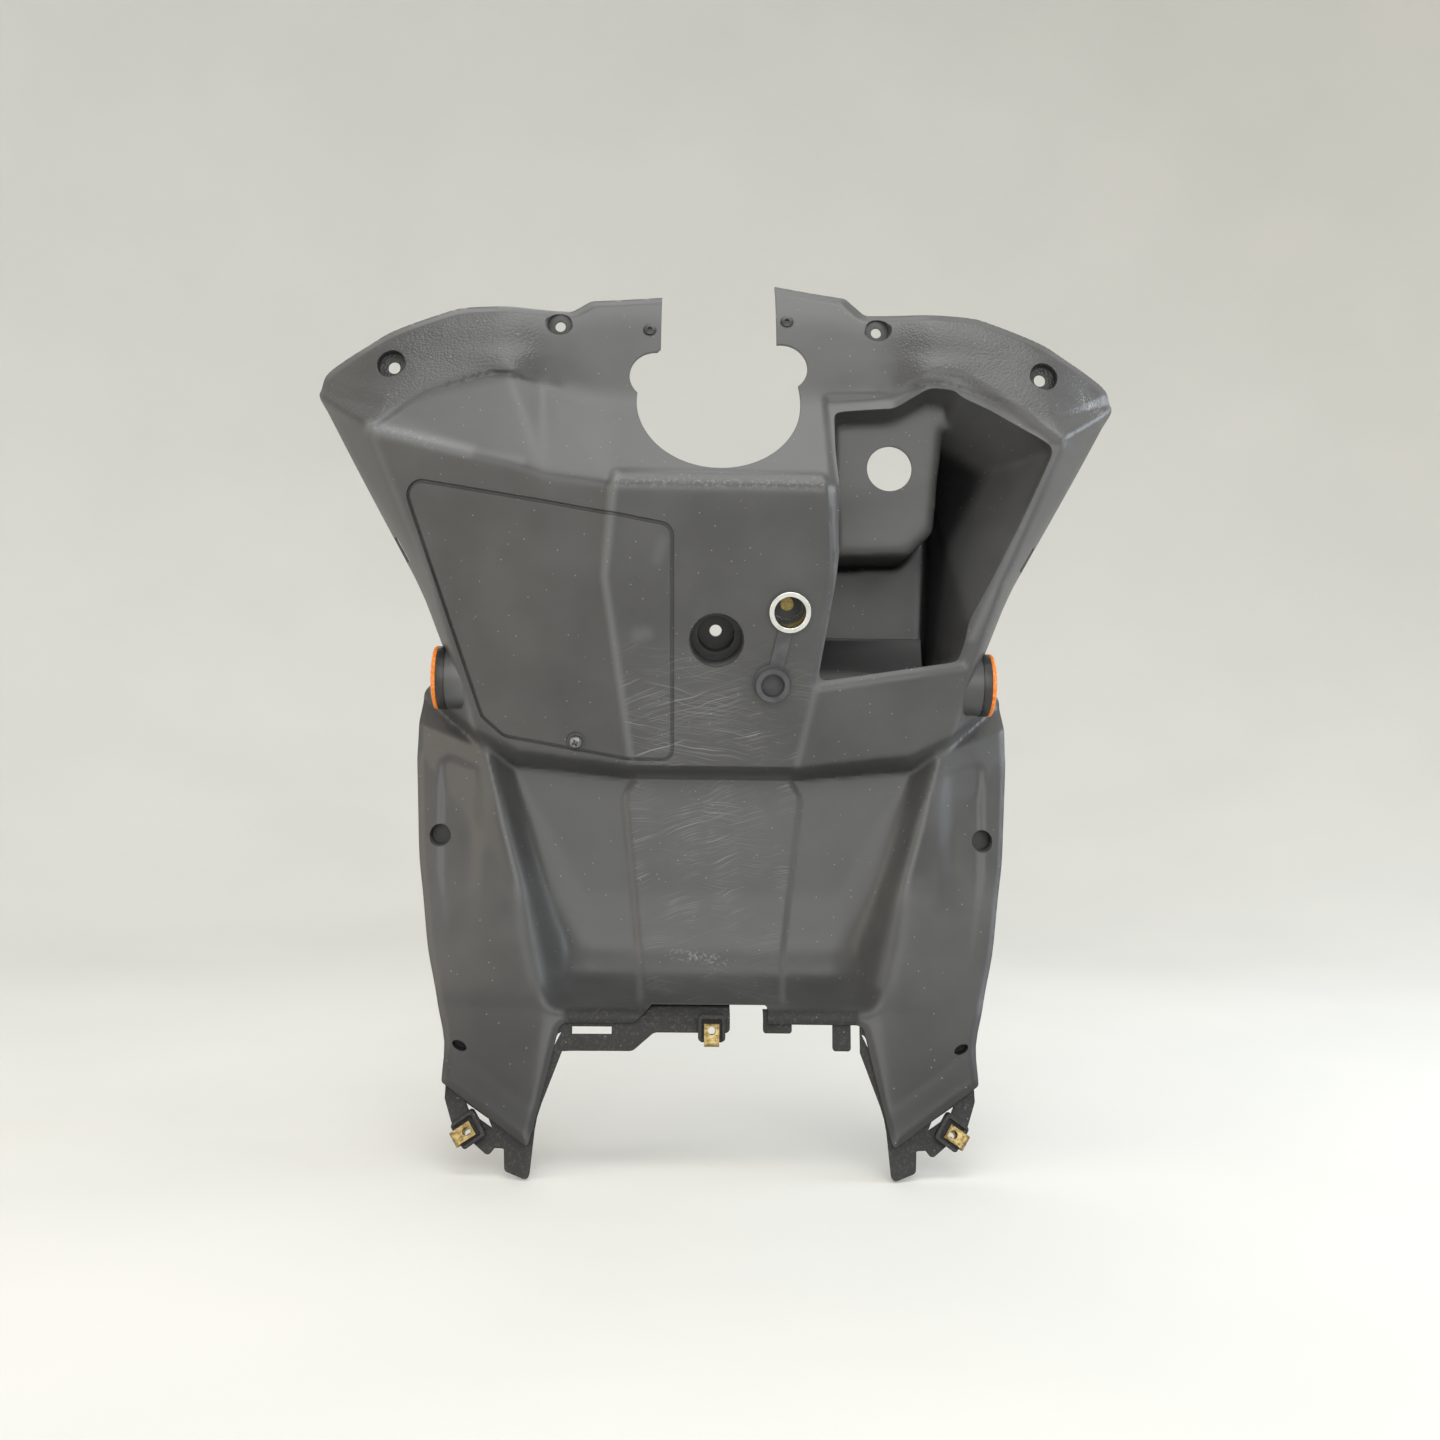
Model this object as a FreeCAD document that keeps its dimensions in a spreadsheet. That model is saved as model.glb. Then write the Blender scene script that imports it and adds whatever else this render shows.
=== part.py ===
"""Inner leg shield of a scooter's front fairing, with its service cover, socket and reflectors.

Millimetres. +X is right as the rider sees it, +Y points forward, away from the rider, +Z is up.
The origin is the mouth of the centre bolt bore in the console.
"""
import FreeCAD, Part
import math
import os
import Sketcher
from FreeCAD import Placement, Rotation, Vector

doc = FreeCAD.newDocument("LegShield")
sheet = doc.addObject("Spreadsheet::Sheet", "Sizes")

# Driving dimensions
SIZES = {
    "wall": 3.0,
    "seam": 0.8,
    "seat_gap": 0.3,
    "cover_wall": 2.0,
    "ledge_wall": 2.2,
    "ledge_width": 7.0,
    "panel_rise": 2.5,
    "wing_step": 1.4,
    "flange_wall": 2.4,
    "flange_joggle": 2.0,
    "notch_radius": 57.0,
    "lobe_radius": 18.5,
    "arm_gap": 82.0,
    "console_lean": 15.5,
    "bolt_bore": 8.4,
    "bolt_recess": 36.0,
    "bolt_step": 25.0,
    "bolt_depth": 36.0,
    "bolt_shelf_depth": 22.0,
    "ignition_bore": 32.0,
    "wing_recess": 20.0,
    "wing_bore": 8.5,
    "wing_recess_depth": 15.0,
    "top_recess": 17.0,
    "top_bore": 7.5,
    "top_recess_depth": 9.0,
    "side_recess": 14.0,
    "side_recess_depth": 14.0,
    "low_slot_width": 10.0,
    "low_slot_height": 5.5,
    "low_slot_depth": 9.0,
    "boss_floor": 2.5,
    "boss_wall": 2.4,
    "flank_slot_width": 12.0,
    "flank_slot_height": 17.0,
    "pocket_depth": 115.0,
    "platform_depth": 52.0,
    "socket_inner": 21.0,
    "socket_wall": 0.9,
    "socket_flange": 28.0,
    "socket_flange_wall": 1.8,
    "socket_length": 38.0,
    "contact_head": 9.0,
    "ring_nut_flats": 29.0,
    "ring_nut_height": 8.0,
    "strap_width": 9.5,
    "strap_wall": 1.6,
    "cap_flange": 26.0,
    "cap_plug": 22.6,
    "cap_hollow": 16.0,
    "cap_height": 9.0,
    "screw_head": 9.0,
    "screw_head_height": 2.8,
    "screw_shank": 4.6,
    "screw_length": 15.0,
    "reflector_size": 44.0,
    "reflector_depth": 5.5,
    "lens_wall": 3.6,
    "drum_size": 43.0,
    "clip_width": 10.0,
    "clip_length": 13.0,
    "clip_wall": 1.0,
    "bend_room": 1.5,
    "tab_reach": 8.0,
    "tab_margin": 2.0,
    "tab_slot": 6.0,
    "slip_gap": 0.1,
    "insulator_wall": 5.0,
    "contact_rise": 3.0,
}
for row_number, (alias, value) in enumerate(SIZES.items(), start=1):
    sheet.set("A%d" % row_number, alias)
    sheet.set("B%d" % row_number, str(value))
    sheet.setAlias("B%d" % row_number, alias)
doc.recompute()


def size(alias):
    return float(sheet.get(alias))


wall = size("wall")

# Lines plan of the right half of the skin's outer face. Each station crosses five character lines:
# console crease, box edge, wall foot, ridge (fold crest on the wing), and a line outside the rim.
STATIONS = {
    "rim": [(71, 84, 270), (116, 74, 258), (150, 62, 254), (228, 58, 240), (306, 84, 216)],
    "eyebrow": [(71, 62, 236), (116, 54, 226), (150, 40, 224), (224, 34, 208), (300, 64, 196)],
    "valley": [(75, 36, 170), (122, 38, 179), (144, 25, 180), (228, 10, 155), (294, 62, 182)],
    "ridge": [(71, -29, 100), (115, -23, 106), (152, -17, 116), (233, -6, 137), (292, 72, 175)],
    "upper": [(77, -13, 45), (110, -9, 45), (150, -2, 45), (196, 9, 45), (222, 86, 45)],
    "bulge": [(57, 24, -86), (97, 26, -81), (132, 29, -76), (166, 32, -59), (206, 88, -38)],
    "foot": [(60, 60, -92), (97, 60, -89), (142, 60, -85), (158, 46, -75), (230, 80, -48)],
    "knee": [(56, 55, -175), (90, 55, -175), (115, 50, -175), (128, 26, -175), (222, 46, -175)],
    "cove_top": [(53, 49, -211), (86, 49, -211), (105, 42, -211), (117, 9, -211), (211, 31, -209)],
    "cove": [(51, 38, -229), (83, 38, -229), (102, 31, -229), (113, 1, -229), (206, 24, -226)],
    "cove_low": [(49, 17, -240), (80, 17, -240), (100, 12, -240), (110, -5, -240), (202, 17, -239)],
    "sill": [(48, -8, -245), (78, -8, -245), (98, -8, -245), (108, -9, -245), (198, 10, -247)],
    "ankle": [(50, -26, -365), (80, -28, -365), (100, -40, -365), (118, -47, -365), (196, -38, -365)],
}
# Room for cutting bodies in front of and behind the skin
REACH = 260.0
Y_AXIS = Vector(0, 1, 0)


def both_halves(points):
    right = [Vector(*p) for p in points]
    left = [Vector(-p.x, p.y, p.z) for p in reversed(right)]
    return left + right


NET = [both_halves(points) for points in STATIONS.values()]


def facet_normals(row, column):
    normals = []
    for down, across in ((-1, -1), (-1, 0), (0, -1), (0, 0)):
        r, c = row + down, column + across
        if 0 <= r < len(NET) - 1 and 0 <= c < len(NET[0]) - 1:
            normal = (NET[r + 1][c + 1] - NET[r][c]).cross(NET[r][c + 1] - NET[r + 1][c])
            normals.append(normal.normalize())
    return normals


def outward(row, column):
    """Outward direction at a net point, lengthened so that one unit of it is one unit of wall."""
    normals = facet_normals(row, column)
    mean = sum(normals, Vector()).normalize()
    lean = sum(n.dot(mean) for n in normals) / len(normals)
    return mean * (1 / lean)


OUTWARD = [[outward(r, c) for c in range(len(NET[0]))] for r in range(len(NET))]


def sunk(depth):
    """The net moved inward by a depth of wall."""
    rows = range(len(NET))
    columns = range(len(NET[0]))
    return [[NET[r][c] - OUTWARD[r][c] * depth for c in columns] for r in rows]


def shifted(net, along_y):
    return [[p + Vector(0, along_y, 0) for p in row] for row in net]


def triangles(a, b, c, d, along_a_to_d):
    """Two flat faces over the corners a, b and c, d, meeting on one diagonal."""
    corners = ((a, b, d), (a, d, c)) if along_a_to_d else ((a, b, c), (b, d, c))
    return [Part.Face(Part.makePolygon([p, q, r, p])) for p, q, r in corners]


def sheet_faces(net):
    """Flat facets over a net, folded alike on both halves."""
    faces = []
    for above, below in zip(net[:-1], net[1:]):
        for k in range(len(above) - 1):
            on_left = above[k].x < 0
            faces += triangles(above[k], above[k + 1], below[k], below[k + 1], on_left)
    return faces


def border(net):
    """The points round the edge of a net."""
    left = [row[0] for row in net[1:-1]]
    right = [row[-1] for row in net[1:-1]]
    return net[0] + right + net[-1][::-1] + left[::-1]


def between(net_a, net_b):
    """Closed solid between two copies of the net."""
    faces = sheet_faces(net_a) + sheet_faces(net_b)
    edge_a, edge_b = border(net_a), border(net_b)
    for k in range(len(edge_a)):
        faces += triangles(edge_a[k - 1], edge_a[k], edge_b[k - 1], edge_b[k], True)
    shell = Part.Shell(faces)
    shell.sewShape()
    solid = Part.Solid(shell)
    if solid.Volume < 0:
        solid.reverse()
    return solid


def layer(outer, inner):
    return between(sunk(outer), sunk(inner))


def outline(corners, y):
    """Closed wire in the front view from (x, z) or (x, z, corner radius) points."""
    points = [Vector(c[0], y, c[1]) for c in corners]
    count = len(points)
    entries, exits, edges = [], [], []
    for k, corner in enumerate(corners):
        radius = corner[2] if len(corner) > 2 else 0
        here = points[k]
        back = (points[k - 1] - here)
        ahead = (points[(k + 1) % count] - here)
        half = back.getAngle(ahead) / 2
        trim = radius / math.tan(half) if radius else 0
        entries.append(here + back.normalize() * trim)
        exits.append(here + ahead.normalize() * trim)
        if radius:
            middle = (back.normalize() + ahead.normalize()).normalize()
            top = here + middle * (radius / math.sin(half) - radius)
            edges.append(Part.Arc(entries[k], top, exits[k]).toShape())
    for k in range(count):
        start, end = exits[k], entries[(k + 1) % count]
        if (end - start).Length > 1e-6:
            edges.append(Part.makeLine(start, end))
    return Part.Wire(Part.__sortEdges__(edges))


def prism(corners, y_start=-REACH, y_end=REACH):
    face = Part.Face(outline(corners, y_start))
    return face.extrude(Vector(0, y_end - y_start, 0))


def tapered(front, back, y_front, y_back):
    """Loft from one front-view outline to another with as many corners."""
    return Part.makeLoft([outline(front, y_front), outline(back, y_back)], True, True)


def grown(corners, amount):
    """Front-view outline moved outward by an amount, corner by corner, radii kept concentric."""
    count = len(corners)
    turn = 0
    for k in range(count):
        (ax, az), (bx, bz) = corners[k - 1][:2], corners[k][:2]
        turn += ax * bz - bx * az
    side = 1 if turn > 0 else -1
    moved = []
    for k, corner in enumerate(corners):
        x, z = corner[:2]
        radius = corner[2] if len(corner) > 2 else 0
        normals = []
        for (ax, az), (bx, bz) in ((corners[k - 1][:2], (x, z)), ((x, z), corners[(k + 1) % count][:2])):
            length = math.hypot(bx - ax, bz - az)
            normals.append((side * (bz - az) / length, -side * (bx - ax) / length))
        nx, nz = normals[0][0] + normals[1][0], normals[0][1] + normals[1][1]
        scale = 2 / (nx * nx + nz * nz)
        moved.append((x + nx * scale * amount, z + nz * scale * amount, max(radius + amount, 0) if radius else 0))
    return moved


def sharp(corners):
    return [corner[:2] for corner in corners]


def mirrored(corners):
    return [(-c[0],) + tuple(c[1:]) for c in reversed(corners)]


def symmetric(half):
    """Outline from its right half, listed from the top round to the bottom."""
    return half + mirrored(half)


SKIN = Part.makeCompound(sheet_faces(sunk(0)))


def seat(x, z, depth=0.0):
    """Point of the skin at a place in the front view, sunk by a depth, and the outward direction."""
    ray = Part.makeLine(Vector(x, -REACH, z), Vector(x, REACH, z))
    gap, points, support = ray.distToShape(SKIN)
    face = SKIN.Faces[support[0][4]]
    place = points[0][1]
    u, v = face.Surface.parameter(place)
    normal = face.normalAt(u, v)
    if normal.y > 0:
        normal = normal * -1
    return place - normal * depth, normal


def facing(normal):
    """Rotation that turns local +Z to a direction, local +Y staying upright."""
    across = Vector(0, 0, 1).cross(normal).normalize()
    up = normal.cross(across)
    return Rotation(across, up, normal, "ZXY")


# Front-view outlines of the moulding
EDGE = [(150, 240, 20), (184, 238, 40), (234, 216, 60), (274, 189, 14), (279, 170, 8), (202, 28, 20), (185, -13),
        (209, -33, 8), (210, -80, 60), (204, -150, 200), (193, -212, 150), (176, -268, 60), (176, -292), (117, -328),
        (105, -277, 40), (100, -254, 6)]
# The right arm stands higher than the left one
RIGHT_ARM = [(size("arm_gap") / 2, 267), (92, 257), (105, 242)]
LEFT_ARM = [(size("arm_gap") / 2, 255), (92, 250), (105, 240)]
RIM = RIGHT_ARM + EDGE + mirrored(LEFT_ARM + EDGE)
SILL_NOTCH = [(37, -262), (37, -243), (-40, -243), (-52, -254), (-52, -262)]
NOTCH_CENTRE = (0, 170.5)
LOBE_CENTRES = [(-44, 189), (44, 197)]
PANEL = symmetric([(54, -92), (62, -107), (48, -243)])
WING_PANEL = [(162, -90), (192, -78), (188, -160), (172, -236), (124, -236)]
COVER = [(-211, 105, 9), (-31, 73.5, 8), (-29, -80, 7), (-60, -79.5, 40), (-144, -65, 12), (-159, -52, 8)]
SCREW_BRIDGE = [(-104, -84), (-85, -84), (-85, -59), (-104, -59)]

skin_rim = prism(RIM)
skin = layer(0, wall).common(skin_rim).cut(prism(SILL_NOTCH))

# Steering notch between the arms, with a lobe on each side
notch_start = Vector(NOTCH_CENTRE[0], -REACH, NOTCH_CENTRE[1])
notch_tools = [Part.makeCylinder(size("notch_radius"), 2 * REACH, notch_start, Y_AXIS)]
for lobe_x, lobe_z in LOBE_CENTRES:
    notch_tools.append(Part.makeCylinder(size("lobe_radius"), 2 * REACH, Vector(lobe_x, -REACH, lobe_z), Y_AXIS))
throat = size("arm_gap") / 2
throat_top = 2 * REACH
throat_foot = NOTCH_CENTRE[1]
notch_tools.append(prism([(-throat, throat_top), (throat, throat_top), (throat, throat_foot), (-throat, throat_foot)]))
notch = notch_tools[0].multiFuse(notch_tools[1:])

# Raised centre panel, recessed wing panels, cover opening with a rebate ledge
raised = layer(-size("panel_rise"), wall / 2).common(prism(PANEL))
wing_cut = layer(-wall, size("wing_step"))
wing_panels = [WING_PANEL, mirrored(WING_PANEL)]
steps = [wing_cut.common(prism(panel)) for panel in wing_panels]
ledge_front = size("cover_wall") + size("seat_gap")
ledge_ring = prism(sharp(grown(COVER, wall))).cut(prism(sharp(grown(COVER, -size("ledge_width")))))
ledge_ring = ledge_ring.fuse(prism(SCREW_BRIDGE))
ledge = layer(ledge_front, ledge_front + size("ledge_wall")).common(ledge_ring)
cover_opening = prism(grown(COVER, size("seam")))

# Joggled flanges below the skin's lower edges, with slots and tabs
LEG_FLANGE = [(174, -284), (174, -303), (168, -318), (143, -336), (139, -331), (133, -331), (132, -344), (116, -349),
              (113, -312, 60), (98, -272), (98, -246), (106, -246), (124, -290), (126, -322)]
SILL_FLANGE = [(-100, -246), (-100, -272), (-52, -272), (-38, -260), (12, -260), (12, -238), (-54, -238)]
HOOK_LUG = [(34, -246), (34, -260), (53, -260), (53, -246)]
SMALL_LUG = [(80, -246), (80, -271), (92, -271), (92, -246)]
LEG_SLOT = [(160, -305), (157, -311), (141, -320), (144, -314)]
ARCH_SLOT = [(99, -260), (101, -261), (109, -277), (107, -276)]
SILL_SLOT = [(-92, -256.5), (-66, -256.5), (-66, -261.5), (-92, -261.5)]
TAB_ROOT = 14.0
TAB_PLACES = {"centre": (0, -258), "left": (-158, -321), "right": (158, -321)}
# Turn of each tab from pointing straight down, towards the outer side
TAB_TURNS = {"centre": 0, "left": -55, "right": 55}
flange_top = size("flange_joggle")


def tab_outline(name, half, down, up):
    """Rectangle about a tab's bolt axis, turned with the tab."""
    x, z = TAB_PLACES[name]
    turn = math.radians(TAB_TURNS[name])
    corners = []
    for across, along in ((-half, up), (-half, -down), (half, -down), (half, up)):
        corners.append((x + across * math.cos(turn) - along * math.sin(turn),
                        z + across * math.sin(turn) + along * math.cos(turn)))
    return corners


def joined(outlines):
    prisms = [prism(corners) for corners in outlines]
    return prisms[0].multiFuse(prisms[1:])


flange_outlines = [LEG_FLANGE, mirrored(LEG_FLANGE), SILL_FLANGE, HOOK_LUG, SMALL_LUG]
slot_outlines = [LEG_SLOT, mirrored(LEG_SLOT), ARCH_SLOT, mirrored(ARCH_SLOT), SILL_SLOT]
tab_half = size("clip_width") / 2 + size("tab_margin")
slot_half = size("tab_slot") / 2
for name in TAB_PLACES:
    flange_outlines.append(tab_outline(name, tab_half, size("tab_reach"), TAB_ROOT))
    slot_outlines.append(tab_outline(name, slot_half, slot_half, slot_half))
flange_slots = joined(slot_outlines)
flanges = layer(flange_top, flange_top + size("flange_wall")).common(joined(flange_outlines).cut(flange_slots))

# Open pocket on the right: a deep bin and a platform for the ignition switch
POCKET_MOUTH = [(81, 64), (140, 66), (159, 84), (162, 128), (168, 184), (190, 168), (226, 132), (173, 4), (169, -10),
                (69, -26), (79, 40)]
POCKET_BACK = [(81, 64), (136, 66), (150, 84), (152, 112), (153, 132), (156, 129), (160, 124), (157, 8), (155, -12),
               (70, -24), (80, 36)]
PLATFORM = [(78, 170), (123, 172), (148, 187), (168, 184), (164, 128), (161, 82), (140, 64), (80, 62)]
BIN = [(74, 4), (153, 4), (151, -70), (74, -70)]
BIN_FRONT = 50.0
POCKET_FRONT = -60.0
# Depth from which the pocket's sides lean inward
POCKET_SHOULDER = 5.0
pocket_back = size("pocket_depth")
platform_back = size("platform_depth")


def pocket_body(extra):
    """The pocket's hollow, or with extra wall round it, its outside."""
    mouth = grown(POCKET_MOUTH, extra)
    entry = prism(mouth, POCKET_FRONT, POCKET_SHOULDER)
    deep = tapered(mouth, grown(POCKET_BACK, extra), POCKET_SHOULDER, pocket_back + extra)
    shelf = prism(grown(PLATFORM, extra), POCKET_FRONT, platform_back + extra)
    low = prism(grown(BIN, extra), BIN_FRONT - extra, pocket_back + extra)
    return deep.multiFuse([entry, shelf, low])


front_room = between(shifted(sunk(wall / 2), -2 * REACH), sunk(wall / 2))
tub = pocket_body(wall).cut(front_room)
hollow = pocket_body(0)

# Screw places in the front view, on both sides of the centre line
SCREW_PLACES = {"wing": (226, 190), "top": (113, 228), "side": (190, -134)}
LOW_PLACE = (166, -270)
BLIND = ("side",)


def eight_sided(across, length, start, axis):
    """Bar with eight flats, as wide across them as given."""
    turn = Rotation(Vector(0, 0, 1), axis)
    corner = Vector(across / 2, across / 2 * math.tan(math.pi / 8), 0)
    ring = [start + turn.multVec(Rotation(Vector(0, 0, 1), 45 * k).multVec(corner)) for k in range(9)]
    return Part.Face(Part.makePolygon(ring)).extrude(axis * length)


def screw_boss(kind, side):
    """Cup behind the skin, the hollow of its counterbore and its bore."""
    x, z = SCREW_PLACES[kind]
    place, normal = seat(side * x, z)
    floor_y = place.y + size(kind + "_recess_depth")
    radius = size(kind + "_recess") / 2
    start = Vector(side * x, -REACH, z)
    cup_end = floor_y + size("boss_floor")
    cup = eight_sided(2 * (radius + size("boss_wall")), cup_end + REACH, start, Y_AXIS).cut(front_room)
    recess = Part.makeCylinder(radius, floor_y + REACH, start, Y_AXIS)
    if kind in BLIND:
        return cup, recess
    return cup, recess.fuse(Part.makeCylinder(size(kind + "_bore") / 2, 2 * REACH, start, Y_AXIS))


bosses, boss_holes = [], []
for kind in SCREW_PLACES:
    for side in (-1, 1):
        cup, hole = screw_boss(kind, side)
        bosses.append(cup)
        boss_holes.append(hole)


def low_box(side, extra):
    """Blind slot low on a leg, or with extra wall round it, its outside."""
    place, normal = seat(side * LOW_PLACE[0], LOW_PLACE[1])
    width = size("low_slot_width") + 2 * extra
    height = size("low_slot_height") + 2 * extra
    end = place.y + size("low_slot_depth") + extra
    corner = Vector(place.x - width / 2, -REACH, place.z - height / 2)
    return Part.makeBox(width, end + REACH, height, corner)


for side in (-1, 1):
    bosses.append(low_box(side, size("boss_floor")).cut(front_room))
    boss_holes.append(low_box(side, 0))

# Centre bolt recess, square to the leaning console
lean = math.radians(size("console_lean"))
BOLT_AXIS = Vector(0, math.cos(lean), math.sin(lean))
bolt_room = BOLT_AXIS * -REACH


def bolt_cylinder(diameter, depth):
    return Part.makeCylinder(diameter / 2, REACH + depth, bolt_room, BOLT_AXIS)


bolt_cup = eight_sided(size("bolt_recess") + 2 * wall, REACH + size("bolt_depth") + wall, bolt_room, BOLT_AXIS)
bolt_cup = bolt_cup.cut(front_room)
bolt_hole = bolt_cylinder(size("bolt_recess"), size("bolt_shelf_depth"))
bolt_hole = bolt_hole.multiFuse([bolt_cylinder(size("bolt_step"), size("bolt_depth")),
                                 bolt_cylinder(size("bolt_bore"), REACH)])

# Round bosses for the side reflectors, standing out from behind the ridge and hollow inside
DRUM_PLACE = (47.5, -25)
DRUM_END = 186.0
DRUM_ROOT = 168.5


def side_room(side, start, middle, deep, high):
    """Box that runs outward from a distance off the centre line, about a (y, z) middle."""
    corner = Vector(start if side > 0 else -start - REACH, middle[0] - deep / 2, middle[1] - high / 2)
    return Part.makeBox(REACH, deep, high, corner)


drums, drum_hollows = [], []
for side in (-1, 1):
    axis = Vector(-side, 0, 0)
    end = Vector(side * DRUM_END, DRUM_PLACE[0], DRUM_PLACE[1])
    drum_radius = size("drum_size") / 2
    drums.append(Part.makeCylinder(drum_radius, DRUM_END - DRUM_ROOT, end, axis))
    core = eight_sided(2 * (drum_radius - wall), DRUM_END - DRUM_ROOT, end + axis * wall, axis)
    room_half = size("reflector_size") / 2 + size("seam")
    drum_hollows += [core, side_room(side, DRUM_END, DRUM_PLACE, 2 * room_half, 2 * room_half)]

# Places of the fitted pieces in the front view
SOCKET_PLACE = (48.5, 19.5)
CAP_PLACE = (38.0, -27.4)
SCREW_PLACE = (-94.5, -69)
IGNITION_PLACE = (122, 128)

# Slots through the flanks
FLANK_PLACE = (48, 64)
FLANK_START = 190.0
flank_slots = [side_room(side, FLANK_START, FLANK_PLACE, size("flank_slot_width"), size("flank_slot_height"))
               for side in (-1, 1)]

# Post behind the cover that takes the cover screw
post_top = size("cover_wall") + size("seat_gap")
screw_seat, screw_normal = seat(*SCREW_PLACE)
post_size = size("screw_shank") + 2 * wall
post_length = size("screw_length") + wall
post_corner = Vector(-post_size / 2, -post_size / 2, -post_top - post_length)
post = Part.makeBox(post_size, post_size, post_length, post_corner)
post.Placement = Placement(screw_seat, facing(screw_normal))

# The moulding before its plain bores
body = skin.cut(notch).cut(cover_opening)
body = body.multiFuse([raised, ledge, post, tub, bolt_cup, flanges] + bosses + drums)
cutters = [hollow, bolt_hole] + steps + boss_holes + drum_hollows + flank_slots
moulding = doc.addObject("Part::Feature", "moulding")
moulding.Shape = body.cut(cutters[0].multiFuse(cutters[1:])).removeSplitter()

NODES = []


def kept(piece, label):
    piece.Label = label
    NODES.append(piece)
    return piece


def framed(place, depth=0.0):
    """Placement on the skin, local +Z pointing out of it."""
    point, normal = seat(place[0], place[1], depth)
    return Placement(point, facing(normal))


def cylinder(name, radius, height, base="0", along=0.0):
    """Cylinder up local Z whose sizes and foot height are expressions, some way along local X."""
    tool = doc.addObject("Part::Cylinder", name)
    tool.setExpression("Radius", radius)
    tool.setExpression("Height", height)
    tool.Placement.Base = Vector(along, 0, 0)
    tool.setExpression("Placement.Base.z", base)
    return tool


def bore(name, radius, height, placement):
    """Cylinder that starts at a placement and runs up its local Z."""
    tool = doc.addObject("Part::Cylinder", name)
    tool.setExpression("Radius", radius)
    tool.setExpression("Height", height)
    tool.Placement = placement
    return tool


def box(name, width, height, corner, length):
    """Box of a given length along local X; its other sizes and its corner are expressions."""
    tool = doc.addObject("Part::Box", name)
    tool.Length = length
    tool.setExpression("Width", width)
    tool.setExpression("Height", height)
    for axis, text in zip("xyz", corner):
        tool.setExpression("Placement.Base." + axis, text)
    return tool


def fused(name, tools):
    joint = doc.addObject("Part::MultiFuse", name)
    joint.Shapes = tools
    return joint


def cut(name, base, tool):
    result = doc.addObject("Part::Cut", name)
    result.Base = base
    result.Tool = tool
    return result


def grouped(name, pieces):
    """Like fasteners that share one node."""
    group = doc.addObject("Part::Compound", name)
    group.Links = pieces
    return group


def sketch_on(owner, name, role):
    sketch = owner.newObject("Sketcher::SketchObject", name)
    plane = [f for f in owner.Origin.OriginFeatures if f.Role == role][0]
    sketch.AttachmentSupport = [(plane, "")]
    sketch.MapMode = "FlatFace"
    return sketch


SKETCH_RADIUS = 9.0


def profile(owner, name, role, corners):
    """Closed sketch whose corners are pairs of expressions, each bound by its own constraint."""
    sketch = sketch_on(owner, name, role)
    count = len(corners)
    start = Vector(SKETCH_RADIUS, 0, 0)
    around = [Rotation(Vector(0, 0, 1), 360 * k / count).multVec(start) for k in range(count + 1)]
    for k in range(count):
        sketch.addGeometry(Part.LineSegment(around[k], around[k + 1]))
    for k in range(count):
        sketch.addConstraint(Sketcher.Constraint("Coincident", k, 2, (k + 1) % count, 1))
    for k, corner in enumerate(corners):
        for kind, axis, text in (("DistanceX", -2, corner[0]), ("DistanceY", -1, corner[1])):
            if text == "0":
                sketch.addConstraint(Sketcher.Constraint("PointOnObject", k, 1, axis))
            else:
                index = sketch.addConstraint(Sketcher.Constraint(kind, -1, 1, k, 1, 1.0))
                sketch.setExpression("Constraints[%d]" % index, text)
    return sketch


def turned(name, corners, placement):
    """Body revolved about local Z from (radius, height) corners."""
    owner = doc.addObject("PartDesign::Body", name)
    sketch = profile(owner, name + "_profile", "XZ_Plane", corners)
    turn = owner.newObject("PartDesign::Revolution", name + "_turn")
    turn.Profile = sketch
    turn.ReferenceAxis = (sketch, ["V_Axis"])
    turn.Angle = 360
    owner.Placement = placement
    return owner


# Plain bores of the moulding
SIDES = {-1: "left", 1: "right"}
BORE_DEPTH = "40"
BORE_START = 20.0


def bore_frame(place):
    frame = framed(place)
    return Placement(frame.Base - frame.Rotation.multVec(Vector(0, 0, BORE_START)), frame.Rotation)


ignition_frame = Placement(Vector(IGNITION_PLACE[0], 0, IGNITION_PLACE[1]), Rotation(Vector(0, 0, 1), Y_AXIS))
pilot_frame = Placement(screw_seat - screw_normal * 2 * size("screw_length"), facing(screw_normal))
pilot_radius = "Sizes.screw_shank / 2 + Sizes.slip_gap"
bores = [
    bore("ignition_hole", "Sizes.ignition_bore / 2", "Sizes.pocket_depth", ignition_frame),
    bore("socket_hole", "Sizes.socket_inner / 2 + Sizes.socket_wall + Sizes.seat_gap", BORE_DEPTH,
         bore_frame(SOCKET_PLACE)),
    bore("pilot_hole", pilot_radius, "2 * Sizes.screw_length", pilot_frame)]
kept(cut("shield", moulding, fused("bores", bores)), "leg_shield")

# Service cover, flush in its opening on the rebate ledge
cover_blank = doc.addObject("Part::Feature", "cover_blank")
cover_blank.Shape = layer(0, size("cover_wall")).common(prism(COVER))
screw_hole = bore("cover_hole", "Sizes.screw_shank / 2 + Sizes.seat_gap", BORE_DEPTH, bore_frame(SCREW_PLACE))
kept(cut("cover", cover_blank, screw_hole), "battery_cover")
head = "Sizes.screw_head / 2"
shank = "Sizes.screw_shank / 2"
kept(turned("screw", [
    ("0", "Sizes.screw_head_height"), (head, "Sizes.screw_head_height"), (head, "Sizes.slip_gap"),
    (shank, "Sizes.slip_gap"), (shank, "-Sizes.screw_length"), ("0", "-Sizes.screw_length")],
    framed(SCREW_PLACE)), "cover_screw")

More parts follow.
